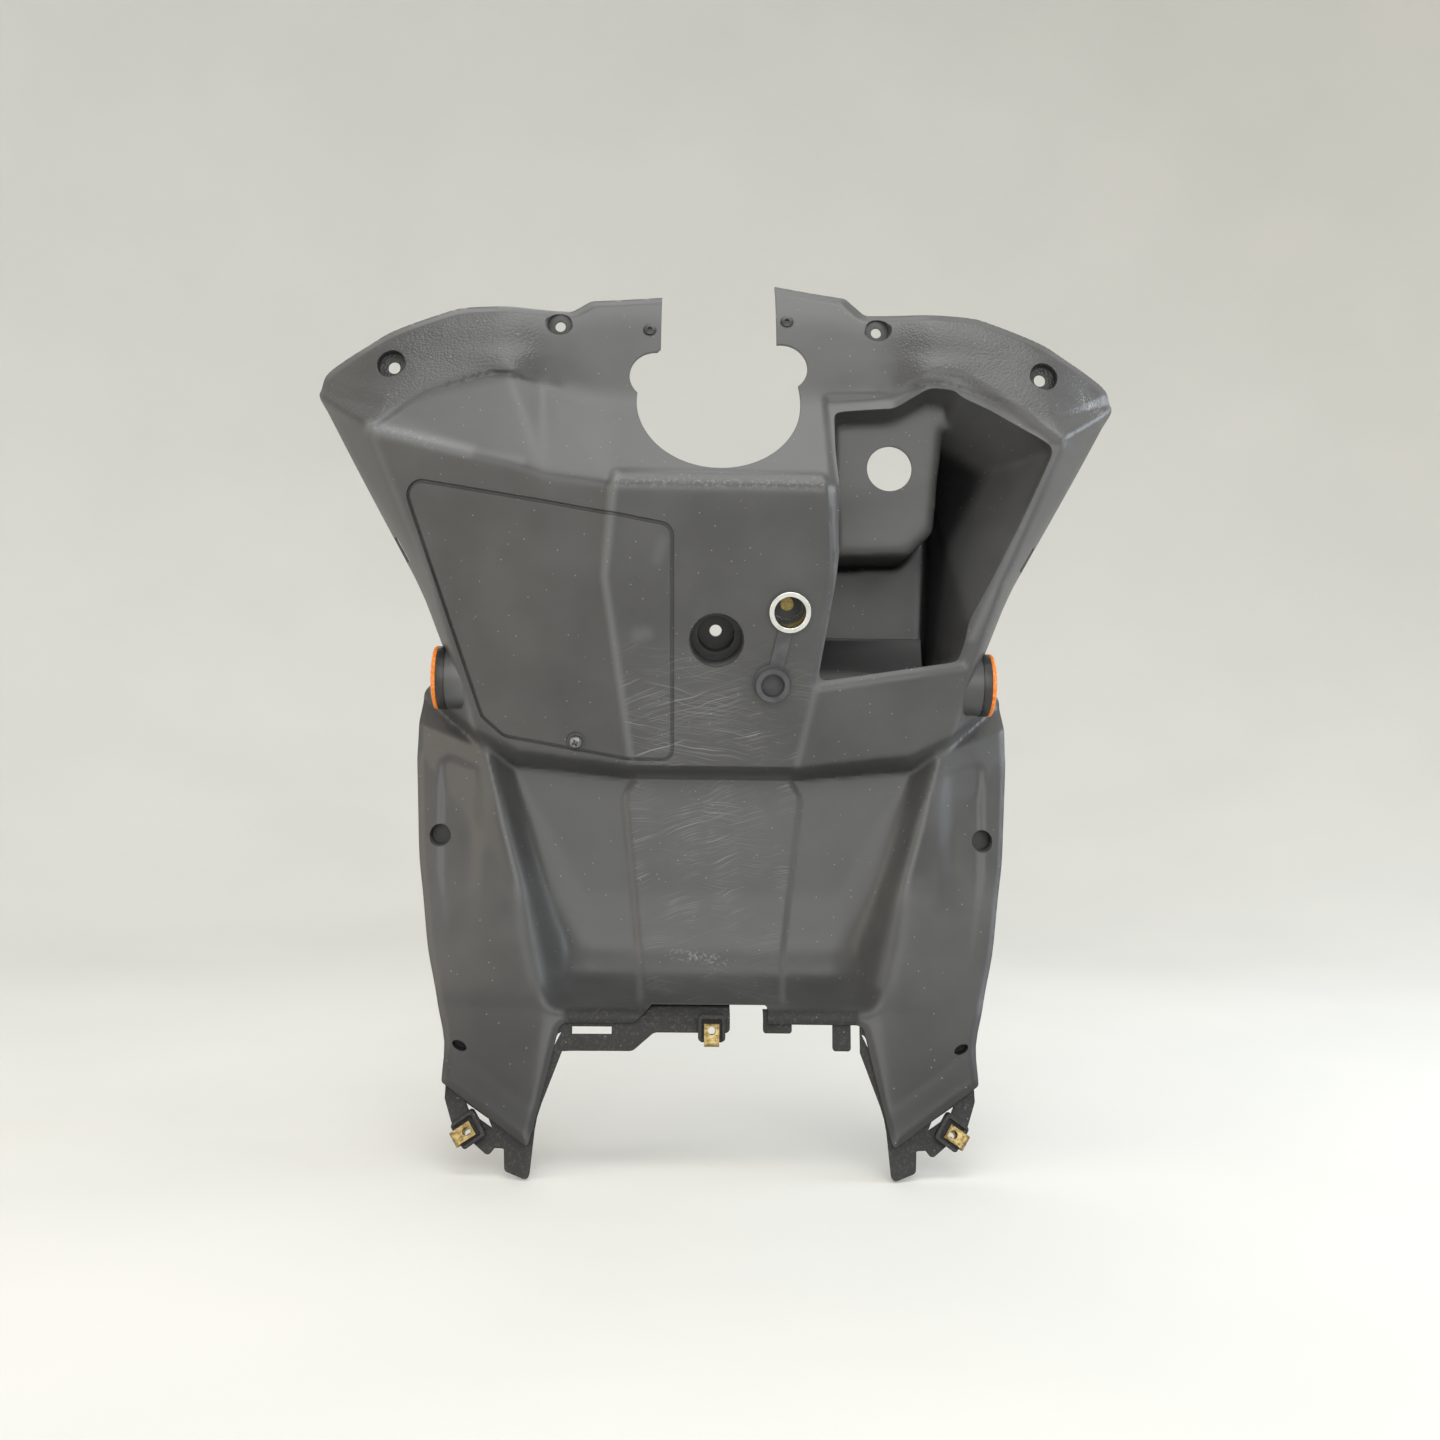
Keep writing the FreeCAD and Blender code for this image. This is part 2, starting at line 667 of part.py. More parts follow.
# Accessory socket: flanged shell, insulator, centre contact, ring nut and capped strap
socket_frame = framed(SOCKET_PLACE)
ring_foot = "Sizes.seat_gap"
flange_foot = "(Sizes.seat_gap + Sizes.strap_wall + Sizes.slip_gap)"
flange_top_at = flange_foot + " + Sizes.socket_flange_wall"
inner = "Sizes.socket_inner / 2"
outer = "Sizes.socket_inner / 2 + Sizes.socket_wall"
kept(turned("socket", [
    (inner, flange_top_at), ("Sizes.socket_flange / 2", flange_top_at), ("Sizes.socket_flange / 2", flange_foot),
    (outer, flange_foot), (outer, "-Sizes.socket_length"), (inner, "-Sizes.socket_length")],
    socket_frame), "socket_shell")
insulator_top = "Sizes.insulator_wall - Sizes.socket_length"
insulator_radius = inner + " - Sizes.slip_gap"
kept(turned("insulator", [
    ("0", insulator_top), (insulator_radius, insulator_top), (insulator_radius, "-Sizes.socket_length"),
    ("0", "-Sizes.socket_length")], socket_frame), "socket_insulator")
contact_foot = insulator_top + " + Sizes.slip_gap"
contact_top = contact_foot + " + Sizes.contact_rise"
kept(turned("contact", [
    ("0", contact_top), ("Sizes.contact_head / 2", contact_top), ("Sizes.contact_head / 2", contact_foot),
    ("0", contact_foot)], socket_frame), "socket_centre_contact")
ring_nut_in = outer + " + Sizes.slip_gap"
nut_blank = doc.addObject("Part::Prism", "ring_nut_blank")
nut_blank.Polygon = 6
nut_blank.setExpression("Circumradius", "Sizes.ring_nut_flats / sqrt(3)")
nut_blank.setExpression("Height", "Sizes.ring_nut_height")
nut_blank.setExpression("Placement.Base.z", "-Sizes.wall - Sizes.seat_gap - Sizes.ring_nut_height")
nut_bore = cylinder("ring_nut_bore", ring_nut_in, "2 * Sizes.socket_length", "-Sizes.socket_length")
ring_nut = cut("ring_nut", nut_blank, nut_bore)
ring_nut.Placement = socket_frame
kept(ring_nut, "socket_ring_nut")

cap_offset = socket_frame.inverse().multVec(seat(*CAP_PLACE)[0])
cap_turn = math.degrees(math.atan2(cap_offset.y, cap_offset.x))
cap_reach = math.hypot(cap_offset.x, cap_offset.y)
ring = cylinder("cap_ring", "Sizes.socket_flange / 2 + Sizes.slip_gap", "Sizes.strap_wall", ring_foot)
strap = box("cap_strap", "Sizes.strap_width", "Sizes.strap_wall",
            ("0", "-Sizes.strap_width / 2", ring_foot), cap_reach)
cap_base = cylinder("cap_base", "Sizes.cap_flange / 2", "Sizes.strap_wall", ring_foot, cap_reach)
plug = cylinder("cap_plug_wall", "Sizes.cap_plug / 2", "Sizes.cap_height", ring_foot, cap_reach)
plug_hollow = cylinder("cap_plug_hollow", "Sizes.cap_hollow / 2", "Sizes.cap_height",
                       "Sizes.seat_gap + Sizes.strap_wall", cap_reach)
ring_hole = cylinder("cap_ring_hole", ring_nut_in, "2 * Sizes.cap_height", "-Sizes.cap_height")
cap = cut("cap", fused("cap_solid", [ring, strap, cap_base, plug]), fused("cap_holes", [ring_hole, plug_hollow]))
cap.Placement = socket_frame.multiply(Placement(Vector(), Rotation(Vector(0, 0, 1), cap_turn)))
kept(cap, "socket_cap")

# Side reflectors: amber lens on a black puck, bonded to the boss
rim_radius = "Sizes.reflector_size / 2"
lens_foot = "Sizes.reflector_depth + Sizes.slip_gap"
lens_top = lens_foot + " + Sizes.lens_wall"
for side, name in SIDES.items():
    end = Vector(side * DRUM_END, DRUM_PLACE[0], DRUM_PLACE[1])
    frame = Placement(end, Rotation(Vector(0, 0, 1), Vector(side, 0, 0)))
    kept(turned("lens_" + name, [("0", lens_top), (rim_radius, lens_top), (rim_radius, lens_foot), ("0", lens_foot)],
                frame), "reflector_lens_" + name)
    kept(turned("housing_" + name, [
        ("0", "Sizes.reflector_depth"), (rim_radius, "Sizes.reflector_depth"), (rim_radius, "Sizes.slip_gap"),
        ("0", "Sizes.slip_gap")], frame), "reflector_housing_" + name)

# Clip nuts: a strip of spring steel folded round each tab
leaf_in = "Sizes.slip_gap"
leaf_out = "(Sizes.slip_gap + Sizes.clip_wall)"
back_in = "(-Sizes.flange_wall - Sizes.slip_gap)"
back_out = "(-Sizes.flange_wall - Sizes.slip_gap - Sizes.clip_wall)"
bend_in = "(-Sizes.tab_reach - Sizes.bend_room)"
bend_out = "(-Sizes.tab_reach - Sizes.bend_room - Sizes.clip_wall)"
leaf_end = "(Sizes.clip_length - Sizes.tab_reach - Sizes.bend_room)"
clips = []
for name, place in TAB_PLACES.items():
    strip = doc.addObject("PartDesign::Body", "strip_" + name)
    fold = profile(strip, "fold_" + name, "YZ_Plane", [
        (leaf_end, leaf_out), (bend_out, leaf_out), (bend_out, back_out), (leaf_end, back_out), (leaf_end, back_in),
        (bend_in, back_in), (bend_in, leaf_in), (leaf_end, leaf_in)])
    pad = strip.newObject("PartDesign::Pad", "strip_pad_" + name)
    pad.Profile = fold
    pad.setExpression("Length", "Sizes.clip_width")
    pad.Midplane = True
    turn = Placement(Vector(), Rotation(Vector(0, 0, 1), TAB_TURNS[name]))
    strip.Placement = framed(place, size("flange_joggle")).multiply(turn)
    clips.append(strip)
kept(grouped("clips", clips), "clip_nuts")

doc.recompute()
for item in doc.Objects:
    if "Invalid" in item.State or "Error" in item.State:
        raise RuntimeError("failed: " + item.Label)
os.makedirs("parts", exist_ok=True)
for piece in NODES:
    if piece.Shape.isNull() or not piece.Shape.isValid():
        raise RuntimeError("bad shape: " + piece.Label)
    piece.Shape.exportStep(os.path.join("parts", piece.Label + ".step"))
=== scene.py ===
import math

import bmesh
import bpy
import numpy as np
from mathutils import Matrix, Vector


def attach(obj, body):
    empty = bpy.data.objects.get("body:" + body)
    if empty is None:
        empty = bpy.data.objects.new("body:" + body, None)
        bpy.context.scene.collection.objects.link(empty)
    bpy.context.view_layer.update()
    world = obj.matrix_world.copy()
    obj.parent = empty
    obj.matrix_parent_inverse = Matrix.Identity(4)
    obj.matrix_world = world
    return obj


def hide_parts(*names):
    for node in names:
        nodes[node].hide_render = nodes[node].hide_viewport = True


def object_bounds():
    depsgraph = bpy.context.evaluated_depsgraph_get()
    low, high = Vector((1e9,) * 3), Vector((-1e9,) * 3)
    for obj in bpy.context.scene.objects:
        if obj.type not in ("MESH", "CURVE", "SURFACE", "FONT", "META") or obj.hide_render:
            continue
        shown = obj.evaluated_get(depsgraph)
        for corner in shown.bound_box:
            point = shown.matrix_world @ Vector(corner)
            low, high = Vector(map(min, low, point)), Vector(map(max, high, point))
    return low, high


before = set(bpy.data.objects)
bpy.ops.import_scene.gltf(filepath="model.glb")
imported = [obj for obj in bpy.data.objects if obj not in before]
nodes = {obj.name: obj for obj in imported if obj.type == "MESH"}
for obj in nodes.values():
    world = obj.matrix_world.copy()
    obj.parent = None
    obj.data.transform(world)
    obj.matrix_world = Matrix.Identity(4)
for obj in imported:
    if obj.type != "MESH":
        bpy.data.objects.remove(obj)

# The inner leg shield of a scooter: one dark moulding with its service cover, socket and reflectors.
# Shapes are worked out in millimetres of the frame that the solids share, and become metres in a mesh.
cad_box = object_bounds()
MM = 0.001

# Character lines of the right half as (x, y, z), from the top rim to the ankle
LINES = {
    "rim": [(71, 84, 270), (116, 74, 258), (150, 62, 254), (228, 58, 240), (306, 84, 216)],
    "eyebrow": [(71, 62, 236), (116, 54, 226), (150, 40, 224), (224, 34, 208), (300, 64, 196)],
    "valley": [(75, 36, 170), (122, 38, 179), (144, 25, 180), (228, 10, 155), (294, 62, 182)],
    "ridge": [(71, -29, 100), (115, -23, 106), (152, -17, 116), (233, -6, 137), (292, 72, 175)],
    "upper": [(77, -13, 45), (110, -9, 45), (150, -2, 45), (196, 9, 45), (222, 86, 45)],
    "bulge": [(57, 24, -86), (97, 26, -81), (132, 29, -76), (166, 32, -59), (206, 88, -38)],
    "foot": [(60, 60, -92), (97, 60, -89), (142, 60, -85), (158, 46, -75), (230, 80, -48)],
    "knee": [(56, 55, -175), (90, 55, -175), (115, 50, -175), (128, 26, -175), (222, 46, -175)],
    "cove_top": [(53, 49, -211), (86, 49, -211), (105, 42, -211), (117, 9, -211), (211, 31, -209)],
    "cove": [(51, 38, -229), (83, 38, -229), (102, 31, -229), (113, 1, -229), (206, 24, -226)],
    "cove_low": [(49, 17, -240), (80, 17, -240), (100, 12, -240), (110, -5, -240), (202, 17, -239)],
    "sill": [(48, -8, -245), (78, -8, -245), (98, -8, -245), (108, -9, -245), (198, 10, -247)],
    "ankle": [(50, -26, -365), (80, -28, -365), (100, -40, -365), (118, -47, -365), (196, -38, -365)],
}
WALL = 3.0


def mirrored(corners):
    """The same corners on the other half, in an order that keeps an outline going round."""
    return [(-c[0],) + tuple(c[1:]) for c in reversed(corners)]


def symmetric(half):
    """Outline of both halves from the corners of the right one."""
    return half + mirrored(half)


# Front-view outlines, as (x, z) or (x, z, corner radius)
EDGE = [
    (150, 240, 20), (184, 238, 40), (234, 216, 60), (274, 189, 14), (279, 170, 8), (202, 28, 20),
    (185, -13, 3), (209, -33, 8), (210, -80, 60), (204, -150, 200), (193, -212, 150), (176, -268, 60),
    (176, -292, 3), (117, -328, 2), (105, -277, 40), (100, -254, 6)]
RIGHT_ARM = [(41, 267, 1), (92, 257, 6), (105, 242, 6)]
LEFT_ARM = [(41, 255, 1), (92, 250, 6), (105, 240, 6)]
RIM = RIGHT_ARM + EDGE + mirrored(LEFT_ARM + EDGE)
SILL_NOTCH = [(37, -262), (37, -243, 2), (-40, -243, 3), (-52, -254, 3), (-52, -262)]
CONSOLE = symmetric([(69, 110, 3), (72, 98, 8), (78, 41, 60), (57, -87)])
KNEE_PANEL = symmetric([(52, -90, 3), (62, -106, 6), (47, -243)])
WING_PANEL = [(164, -88, 4), (192, -78, 6), (188, -160, 60), (172, -236, 10), (124, -236, 6)]
COVER = [(-211, 105, 9), (-31, 73.5, 8), (-29, -80, 7), (-60, -79.5, 40), (-144, -65, 12), (-159, -52, 8)]
LEG_FLANGE = [
    (174, -284), (174, -303, 3), (168, -318, 4), (143, -336, 3), (139, -331, 1), (133, -331, 1),
    (132, -344, 3), (116, -349, 3), (113, -312, 60), (98, -272), (98, -246), (106, -246), (124, -290),
    (126, -322)]
SILL_FLANGE = [
    (-100, -246), (-100, -272, 3), (-52, -272, 6), (-38, -260, 6), (12, -260, 3), (12, -238), (-54, -238)]
HOOK_LUG = [(34, -246), (34, -260, 2), (53, -260, 2), (53, -246)]
SMALL_LUG = [(80, -246), (80, -271, 2), (92, -271, 2), (92, -246)]
# Slots and tabs of the flanges; a tab is (x, z, turn in degrees)
LEG_SLOT = [(160, -305), (157, -311), (141, -320), (144, -314)]
ARCH_SLOT = [(99, -260), (101, -261), (109, -277), (107, -276)]
SILL_SLOT = [(-92, -256.5), (-66, -256.5), (-66, -261.5), (-92, -261.5)]
TABS = {"centre": (0, -258, 0), "left": (-158, -321, -55), "right": (158, -321, 55)}
POCKET_MOUTH = [
    (81, 64), (140, 66), (159, 84), (162, 128), (168, 184), (190, 168), (226, 132), (173, 4), (169, -10),
    (69, -26), (79, 40)]
POCKET_BACK = [
    (81, 64), (136, 66), (150, 84), (152, 112), (153, 132), (156, 129), (160, 124), (157, 8), (155, -12),
    (70, -24), (80, 36)]
PLATFORM = [(78, 170), (123, 172), (148, 187), (168, 184), (164, 128), (161, 82), (140, 64), (80, 62)]
PLATFORM_BACK = [(82, 158), (122, 160), (146, 174), (162, 172), (161, 128), (158, 86), (138, 68), (84, 66)]
POCKET_LIP = [
    (78, 170), (123, 172, 10), (148, 187, 14), (168, 184, 14), (190, 168, 20), (226, 132, 6), (173, 4),
    (169, -10), (69, -26), (79, 40, 40)]
BIN = [(74, 4), (153, 4), (151, -70), (74, -70)]
BROW = [
    (126, 181), (152, 187, 40), (203, 167, 60), (230, 137), (285, 168), (285, 205), (234, 225), (184, 246),
    (150, 246), (122, 244)]

# The front view as a grid of points, close enough to carry the rounded creases
PITCH = 2.0
FAR = 1e9
COLUMNS = np.arange(-145, 146) * PITCH
ROWS = np.arange(-179, 139) * PITCH
X, Z = np.meshgrid(COLUMNS, ROWS)


def facet_depth(depth, p, q, r):
    """Lays one flat facet between three points of the lines into the depth map."""
    (px, py, pz), (qx, qy, qz), (rx, ry, rz) = p, q, r
    area = (qx - px) * (rz - pz) - (rx - px) * (qz - pz)
    s = ((X - px) * (rz - pz) - (rx - px) * (Z - pz)) / area
    t = ((qx - px) * (Z - pz) - (X - px) * (qz - pz)) / area
    on = (s > -1e-6) & (t > -1e-6) & (s + t < 1 + 1e-6)
    depth[on] = (py + s * (qy - py) + t * (ry - py))[on]


def lines_depth():
    """Depth of the flat facets between the character lines, carried on outside them."""
    depth = np.full(X.shape, np.nan)
    net = [mirrored(line) + line for line in LINES.values()]
    for above, below in zip(net[:-1], net[1:]):
        for k in range(len(above) - 1):
            a, b, c, d = above[k], above[k + 1], below[k], below[k + 1]
            halves = ((a, b, d), (a, d, c)) if a[0] < 0 else ((a, b, c), (b, d, c))
            for half in halves:
                facet_depth(depth, *half)
    while np.isnan(depth).any():
        edge = np.pad(depth, 1, constant_values=np.nan)
        near = np.stack([edge[:-2, 1:-1], edge[2:, 1:-1], edge[1:-1, :-2], edge[1:-1, 2:]])
        known = ~np.isnan(near)
        mean = np.where(known, near, 0).sum(0) / np.maximum(known.sum(0), 1)
        depth = np.where(np.isnan(depth) & known.any(0), mean, depth)
    return depth


def rounded_off(depth, radius):
    """The depth map with its creases rounded over a radius in mm."""
    reach = int(3 * radius / PITCH) + 1
    taps = np.exp(-0.5 * (np.arange(-reach, reach + 1) * PITCH / radius) ** 2)
    taps /= taps.sum()
    for axis in (0, 1):
        room = [(0, 0), (0, 0)]
        room[axis] = (reach, reach)
        wide = np.pad(depth, room, mode="edge")
        count = depth.shape[axis]
        depth = sum(tap * np.take(wide, np.arange(k, k + count), axis) for k, tap in enumerate(taps))
    return depth


def drawn(corners, turn=9.0):
    """Points of an outline, its radiused corners drawn as arcs."""
    points = []
    count = len(corners)
    for k, corner in enumerate(corners):
        here = Vector(corner[:2])
        radius = corner[2] if len(corner) > 2 else 0
        if not radius:
            points.append(tuple(here))
            continue
        back = (Vector(corners[k - 1][:2]) - here).normalized()
        ahead = (Vector(corners[(k + 1) % count][:2]) - here).normalized()
        half = back.angle(ahead) / 2
        trim = radius / math.tan(half)
        centre = here + (back + ahead).normalized() * radius / math.sin(half)
        first = here + back * trim - centre
        last = here + ahead * trim - centre
        sweep = math.atan2(first.x * last.y - first.y * last.x, first.dot(last))
        steps = max(2, round(abs(math.degrees(sweep)) / turn))
        for j in range(steps + 1):
            points.append(tuple(centre + Matrix.Rotation(sweep * j / steps, 2) @ first))
    return points


def inside(points, x=X, z=Z):
    """Distance from places in the front view to an outline, positive inside it."""
    nearest = np.full(x.shape, FAR)
    within = np.zeros(x.shape, bool)
    for k, (bx, bz) in enumerate(points):
        ax, az = points[k - 1]
        run, rise = bx - ax, bz - az
        along = np.clip(((x - ax) * run + (z - az) * rise) / (run * run + rise * rise), 0, 1)
        nearest = np.minimum(nearest, np.hypot(x - ax - along * run, z - az - along * rise))
        if rise:
            within ^= ((az > z) != (bz > z)) & (x < ax + (z - az) * run / rise)
    return np.where(within, nearest, -nearest)


def ease(value):
    """Soft step from 0 to 1 as a value goes from 0 to 1."""
    value = np.clip(value, 0, 1)
    return value * value * (3 - 2 * value)


def grown(corners, amount):
    """Outline moved outward corner by corner."""
    count = len(corners)
    turn = sum(corners[k - 1][0] * c[1] - c[0] * corners[k - 1][1] for k, c in enumerate(corners))
    side = 1 if turn > 0 else -1
    moved = []
    for k, corner in enumerate(corners):
        here = Vector(corner[:2])
        into = (here - Vector(corners[k - 1][:2])).normalized()
        out = (Vector(corners[(k + 1) % count][:2]) - here).normalized()
        across = Vector((into.y + out.y, -into.x - out.x)) * side
        place = here + across * (2 * amount / across.length_squared)
        radius = corner[2] + amount if len(corner) > 2 and corner[2] else 0
        moved.append((place.x, place.y, max(radius, 0)))
    return moved


# Depth of the skin: crease radius by height, tight at the brow and under the bulge, soft over deck and cove
flat = lines_depth()
HEIGHTS = [-400, -250, -205, -165, -125, -104, -50, -30, 80, 100, 140, 160, 186, 202, 300]
CREASES = [3.5, 3.5, 6.0, 3.5, 3.5, 1.5, 1.5, 2.6, 2.6, 3.6, 3.2, 1.5, 1.8, 8.0, 8.0]
DECK_CREASE, DECK_SIDE, DECK_FRONT = 6.0, 104, 128
TIP_CREASE, TIP_START = 12.0, 190
crease = np.interp(Z, HEIGHTS, CREASES)
on_deck = (1 - ease((np.abs(X) - DECK_SIDE) / 12)) * ease((Z - DECK_FRONT) / 16)
crease = crease * (1 - on_deck) + DECK_CREASE * on_deck
valley_x, _, valley_z = zip(*LINES["valley"][2:])
valley_height = np.interp(np.abs(X), valley_x, valley_z)
on_tip = ease((np.abs(X) - TIP_START) / 16) * ease((Z - valley_height - 6) / 12)
crease = crease * (1 - on_tip) + TIP_CREASE * on_tip
RADII = (1.5, 2.6, 6.0, 12.0)
skin = rounded_off(flat, RADII[0])
for small, large in zip(RADII, RADII[1:]):
    share = np.clip((crease - small) / (large - small), 0, 1)
    skin = skin * (1 - share) + rounded_off(flat, large) * share

# A bevelled band along the upper rim, a roll on the other edges
RIM_BAND, RIM_BAND_WIDTH = 5.5, 7.5
EDGE_ROLL, EDGE_ROLL_WIDTH = 1.6, 4
rim_room = inside(drawn(RIM))
upper_rim = ease((Z - 165) / 30)
skin += RIM_BAND * (1 - np.clip(rim_room / RIM_BAND_WIDTH, 0, 1)) * upper_rim
skin += EDGE_ROLL * (1 - ease(rim_room / EDGE_ROLL_WIDTH)) * (1 - upper_rim)

# The brows stand proud of the box top below them, fading into the tips and the arms
BROW_LIP, BROW_LIP_WIDTH, BROW_FADE = 3.2, 3.6, 24
for brow in (BROW, mirrored(BROW)):
    brow_room = inside(drawn(brow))
    fade = np.exp(-(np.maximum(brow_room, 0) / BROW_FADE) ** 2) * (1 - ease((Z - 196) / 16))
    skin -= BROW_LIP * ease(brow_room / BROW_LIP_WIDTH + 0.5) * fade * ease((np.abs(X) - 124) / 18)

# The console stands proud of its neighbours, which dip beside it and come back further out
CONSOLE_STEP, CONSOLE_STEP_WIDTH, CONSOLE_FADE = 2.6, 4, 40
console_room = inside(drawn(CONSOLE))
beside = ease(0.5 - console_room / CONSOLE_STEP_WIDTH)
beside = beside * np.exp(-(np.minimum(console_room, 0) / CONSOLE_FADE) ** 2)
skin += CONSOLE_STEP * beside * ease((Z + 92) / 10)

# A raised panel on the knee, dished panels on the wings, and the pocket's rolled lip
KNEE_STEP, KNEE_BEVEL = 2.5, 4.6
WING_DISH, WING_BEVEL = 2.2, 4.4
LIP_ROLL, LIP_ROLL_WIDTH = 3.6, 7.5
skin -= KNEE_STEP * ease(inside(drawn(KNEE_PANEL)) / KNEE_BEVEL + 0.5)
for panel in (WING_PANEL, mirrored(WING_PANEL)):
    fade = ease((Z + 232) / 110) * ease((np.abs(X) - 156) / 14)
    skin += WING_DISH * ease(inside(drawn(panel)) / WING_BEVEL + 0.5) * fade
skin += LIP_ROLL * (1 - ease(-inside(drawn(POCKET_LIP)) / LIP_ROLL_WIDTH))
STEEPEST = 2.5


def slope_of(depth):
    """How much longer a wall is along Y than square to the skin."""
    fall_z, fall_x = np.gradient(depth, PITCH)
    return np.minimum(np.sqrt(1 + fall_x ** 2 + fall_z ** 2), STEEPEST)


# The feet of the legs kick forward on the outside only
under_skin = skin
FOOT_KICK, FOOT_HEIGHT = 4.5, 22
FOOT_LINE = [(117, -328), (176, -292)]
foot_x, foot_z = FOOT_LINE[0]
foot_run = (Vector(FOOT_LINE[1]) - Vector(FOOT_LINE[0])).normalized()
above_foot = (Z - foot_z) * foot_run.x - (np.abs(X) - foot_x) * foot_run.y
skin = skin - FOOT_KICK * ease((FOOT_HEIGHT - above_foot) / 20) * ease((-260 - Z) / 16)


def sampled(field, x, z):
    """Value of a map of the front view at places between its points."""
    i = np.clip((np.asarray(z) - ROWS[0]) / PITCH, 0, len(ROWS) - 1.001)
    j = np.clip((np.asarray(x) - COLUMNS[0]) / PITCH, 0, len(COLUMNS) - 1.001)
    r, c = i.astype(int), j.astype(int)
    u, v = i - r, j - c
    near = field[r, c] * (1 - v) + field[r, c + 1] * v
    far = field[r + 1, c] * (1 - v) + field[r + 1, c + 1] * v
    return near * (1 - u) + far * u


flat_z, flat_x = np.gradient(flat, PITCH)


def seat(x, z, depth=0.0, field=flat):
    """Frame on the skin at a place, local Z pointing out of it and local Y up."""
    out = Vector((float(sampled(flat_x, x, z)), -1, float(sampled(flat_z, x, z)))).normalized()
    across = Vector((0, 0, 1)).cross(out).normalized()
    turn = Matrix((across, out.cross(across), out)).transposed().to_4x4()
    return Matrix.Translation(Vector((x, float(sampled(field, x, z)), z)) - out * depth) @ turn


def toward(place, axis):
    """Frame at a place with local Z along an axis."""
    turn = Vector((0, 0, 1)).rotation_difference(Vector(axis)).to_matrix().to_4x4()
    return Matrix.Translation(Vector(place)) @ turn


def piece(name, verts, faces, frame_at=None):
    """Mesh object from points in millimetres of a frame."""
    if frame_at is not None:
        verts = [frame_at @ Vector(v) for v in verts]
    mesh = bpy.data.meshes.new(name)
    mesh.from_pydata((np.asarray(verts, float) * MM).tolist(), [], faces)
    mesh.update()
    thing = bpy.data.objects.new(name, mesh)
    bpy.context.scene.collection.objects.link(thing)
    return thing


REACH = 260.0
EVERYWHERE = (COLUMNS[0], ROWS[0], COLUMNS[-1], ROWS[-1])


def behind(name, depth, step=2, window=EVERYWHERE, face=under_skin):
    """Closed body of all that lies behind a depth below a face, in a window (x0, z0, x1, z1)."""
    x0, z0, x1, z1 = window
    rows = np.flatnonzero((ROWS >= z0 - PITCH) & (ROWS <= z1 + PITCH))[::step]
    columns = np.flatnonzero((COLUMNS >= x0 - PITCH) & (COLUMNS <= x1 + PITCH))[::step]
    part = np.ix_(rows, columns)
    sunk = face + depth * slope_of(face)
    front = np.stack([X[part], sunk[part], Z[part]], -1).reshape(-1, 3)
    r, c = len(rows), len(columns)
    index = np.arange(r * c).reshape(r, c)
    quads = np.stack([index[:-1, :-1], index[:-1, 1:], index[1:, 1:], index[1:, :-1]], -1).reshape(-1, 4)
    loop = np.concatenate([index[0, :-1], index[:-1, -1], index[-1, :0:-1], index[:0:-1, 0]])
    back = front[loop]
    back[:, 1] = REACH
    deep = np.arange(len(loop)) + r * c
    sides = np.stack([loop, deep, np.roll(deep, -1), np.roll(loop, -1)], 1)
    faces = quads.tolist() + sides.tolist() + [deep[::-1].tolist()]
    return piece(name, np.concatenate([front, back]), faces)


def baked(thing):
    """Gives a piece the mesh that its modifiers make."""
    bpy.context.view_layer.update()
    mesh = bpy.data.meshes.new_from_object(thing.evaluated_get(bpy.context.evaluated_depsgraph_get()))
    thing.modifiers.clear()
    old = thing.data
    thing.data = mesh
    bpy.data.meshes.remove(old)
    return thing


def worked(thing, how, tools):
    """Joins tools to a piece, cuts them out of it, or keeps what is common to both."""
    for tool in tools:
        step = thing.modifiers.new(how, "BOOLEAN")
        step.operation = how
        step.solver = "MANIFOLD"
        step.object = tool
        baked(thing)
        bpy.data.objects.remove(tool)
    return thing


def joined(tools):
    """One body from several."""
    return worked(tools[0], "UNION", tools[1:])


def layer(name, outer, inner, window=EVERYWHERE, face=under_skin):
    """Closed sheet between two depths below the skin; its hidden back is drawn coarser."""
    return worked(behind(name, outer, 1, window, face), "DIFFERENCE", [behind("inner", inner, 2, window)])


def tapered(name, front, back, y_front, y_back, frame_at=None):
    """Closed body between two outlines with as many points, along local Y."""
    count = len(front)
    turn = sum(front[k - 1][0] * p[1] - p[0] * front[k - 1][1] for k, p in enumerate(front))
    if turn < 0:
        front, back = front[::-1], back[::-1]
    verts = [(x, y_front, z) for x, z in front] + [(x, y_back, z) for x, z in back]
    faces = [list(range(count)), list(range(2 * count - 1, count - 1, -1))]
    faces += [[k, k + count, (k + 1) % count + count, (k + 1) % count] for k in range(count)]
    return piece(name, verts, faces, frame_at)


def prism(name, corners, y_front=-REACH, y_back=REACH, frame_at=None):
    """Closed body with one outline, along local Y."""
    points = drawn(corners)
    return tapered(name, points, points, y_front, y_back, frame_at)


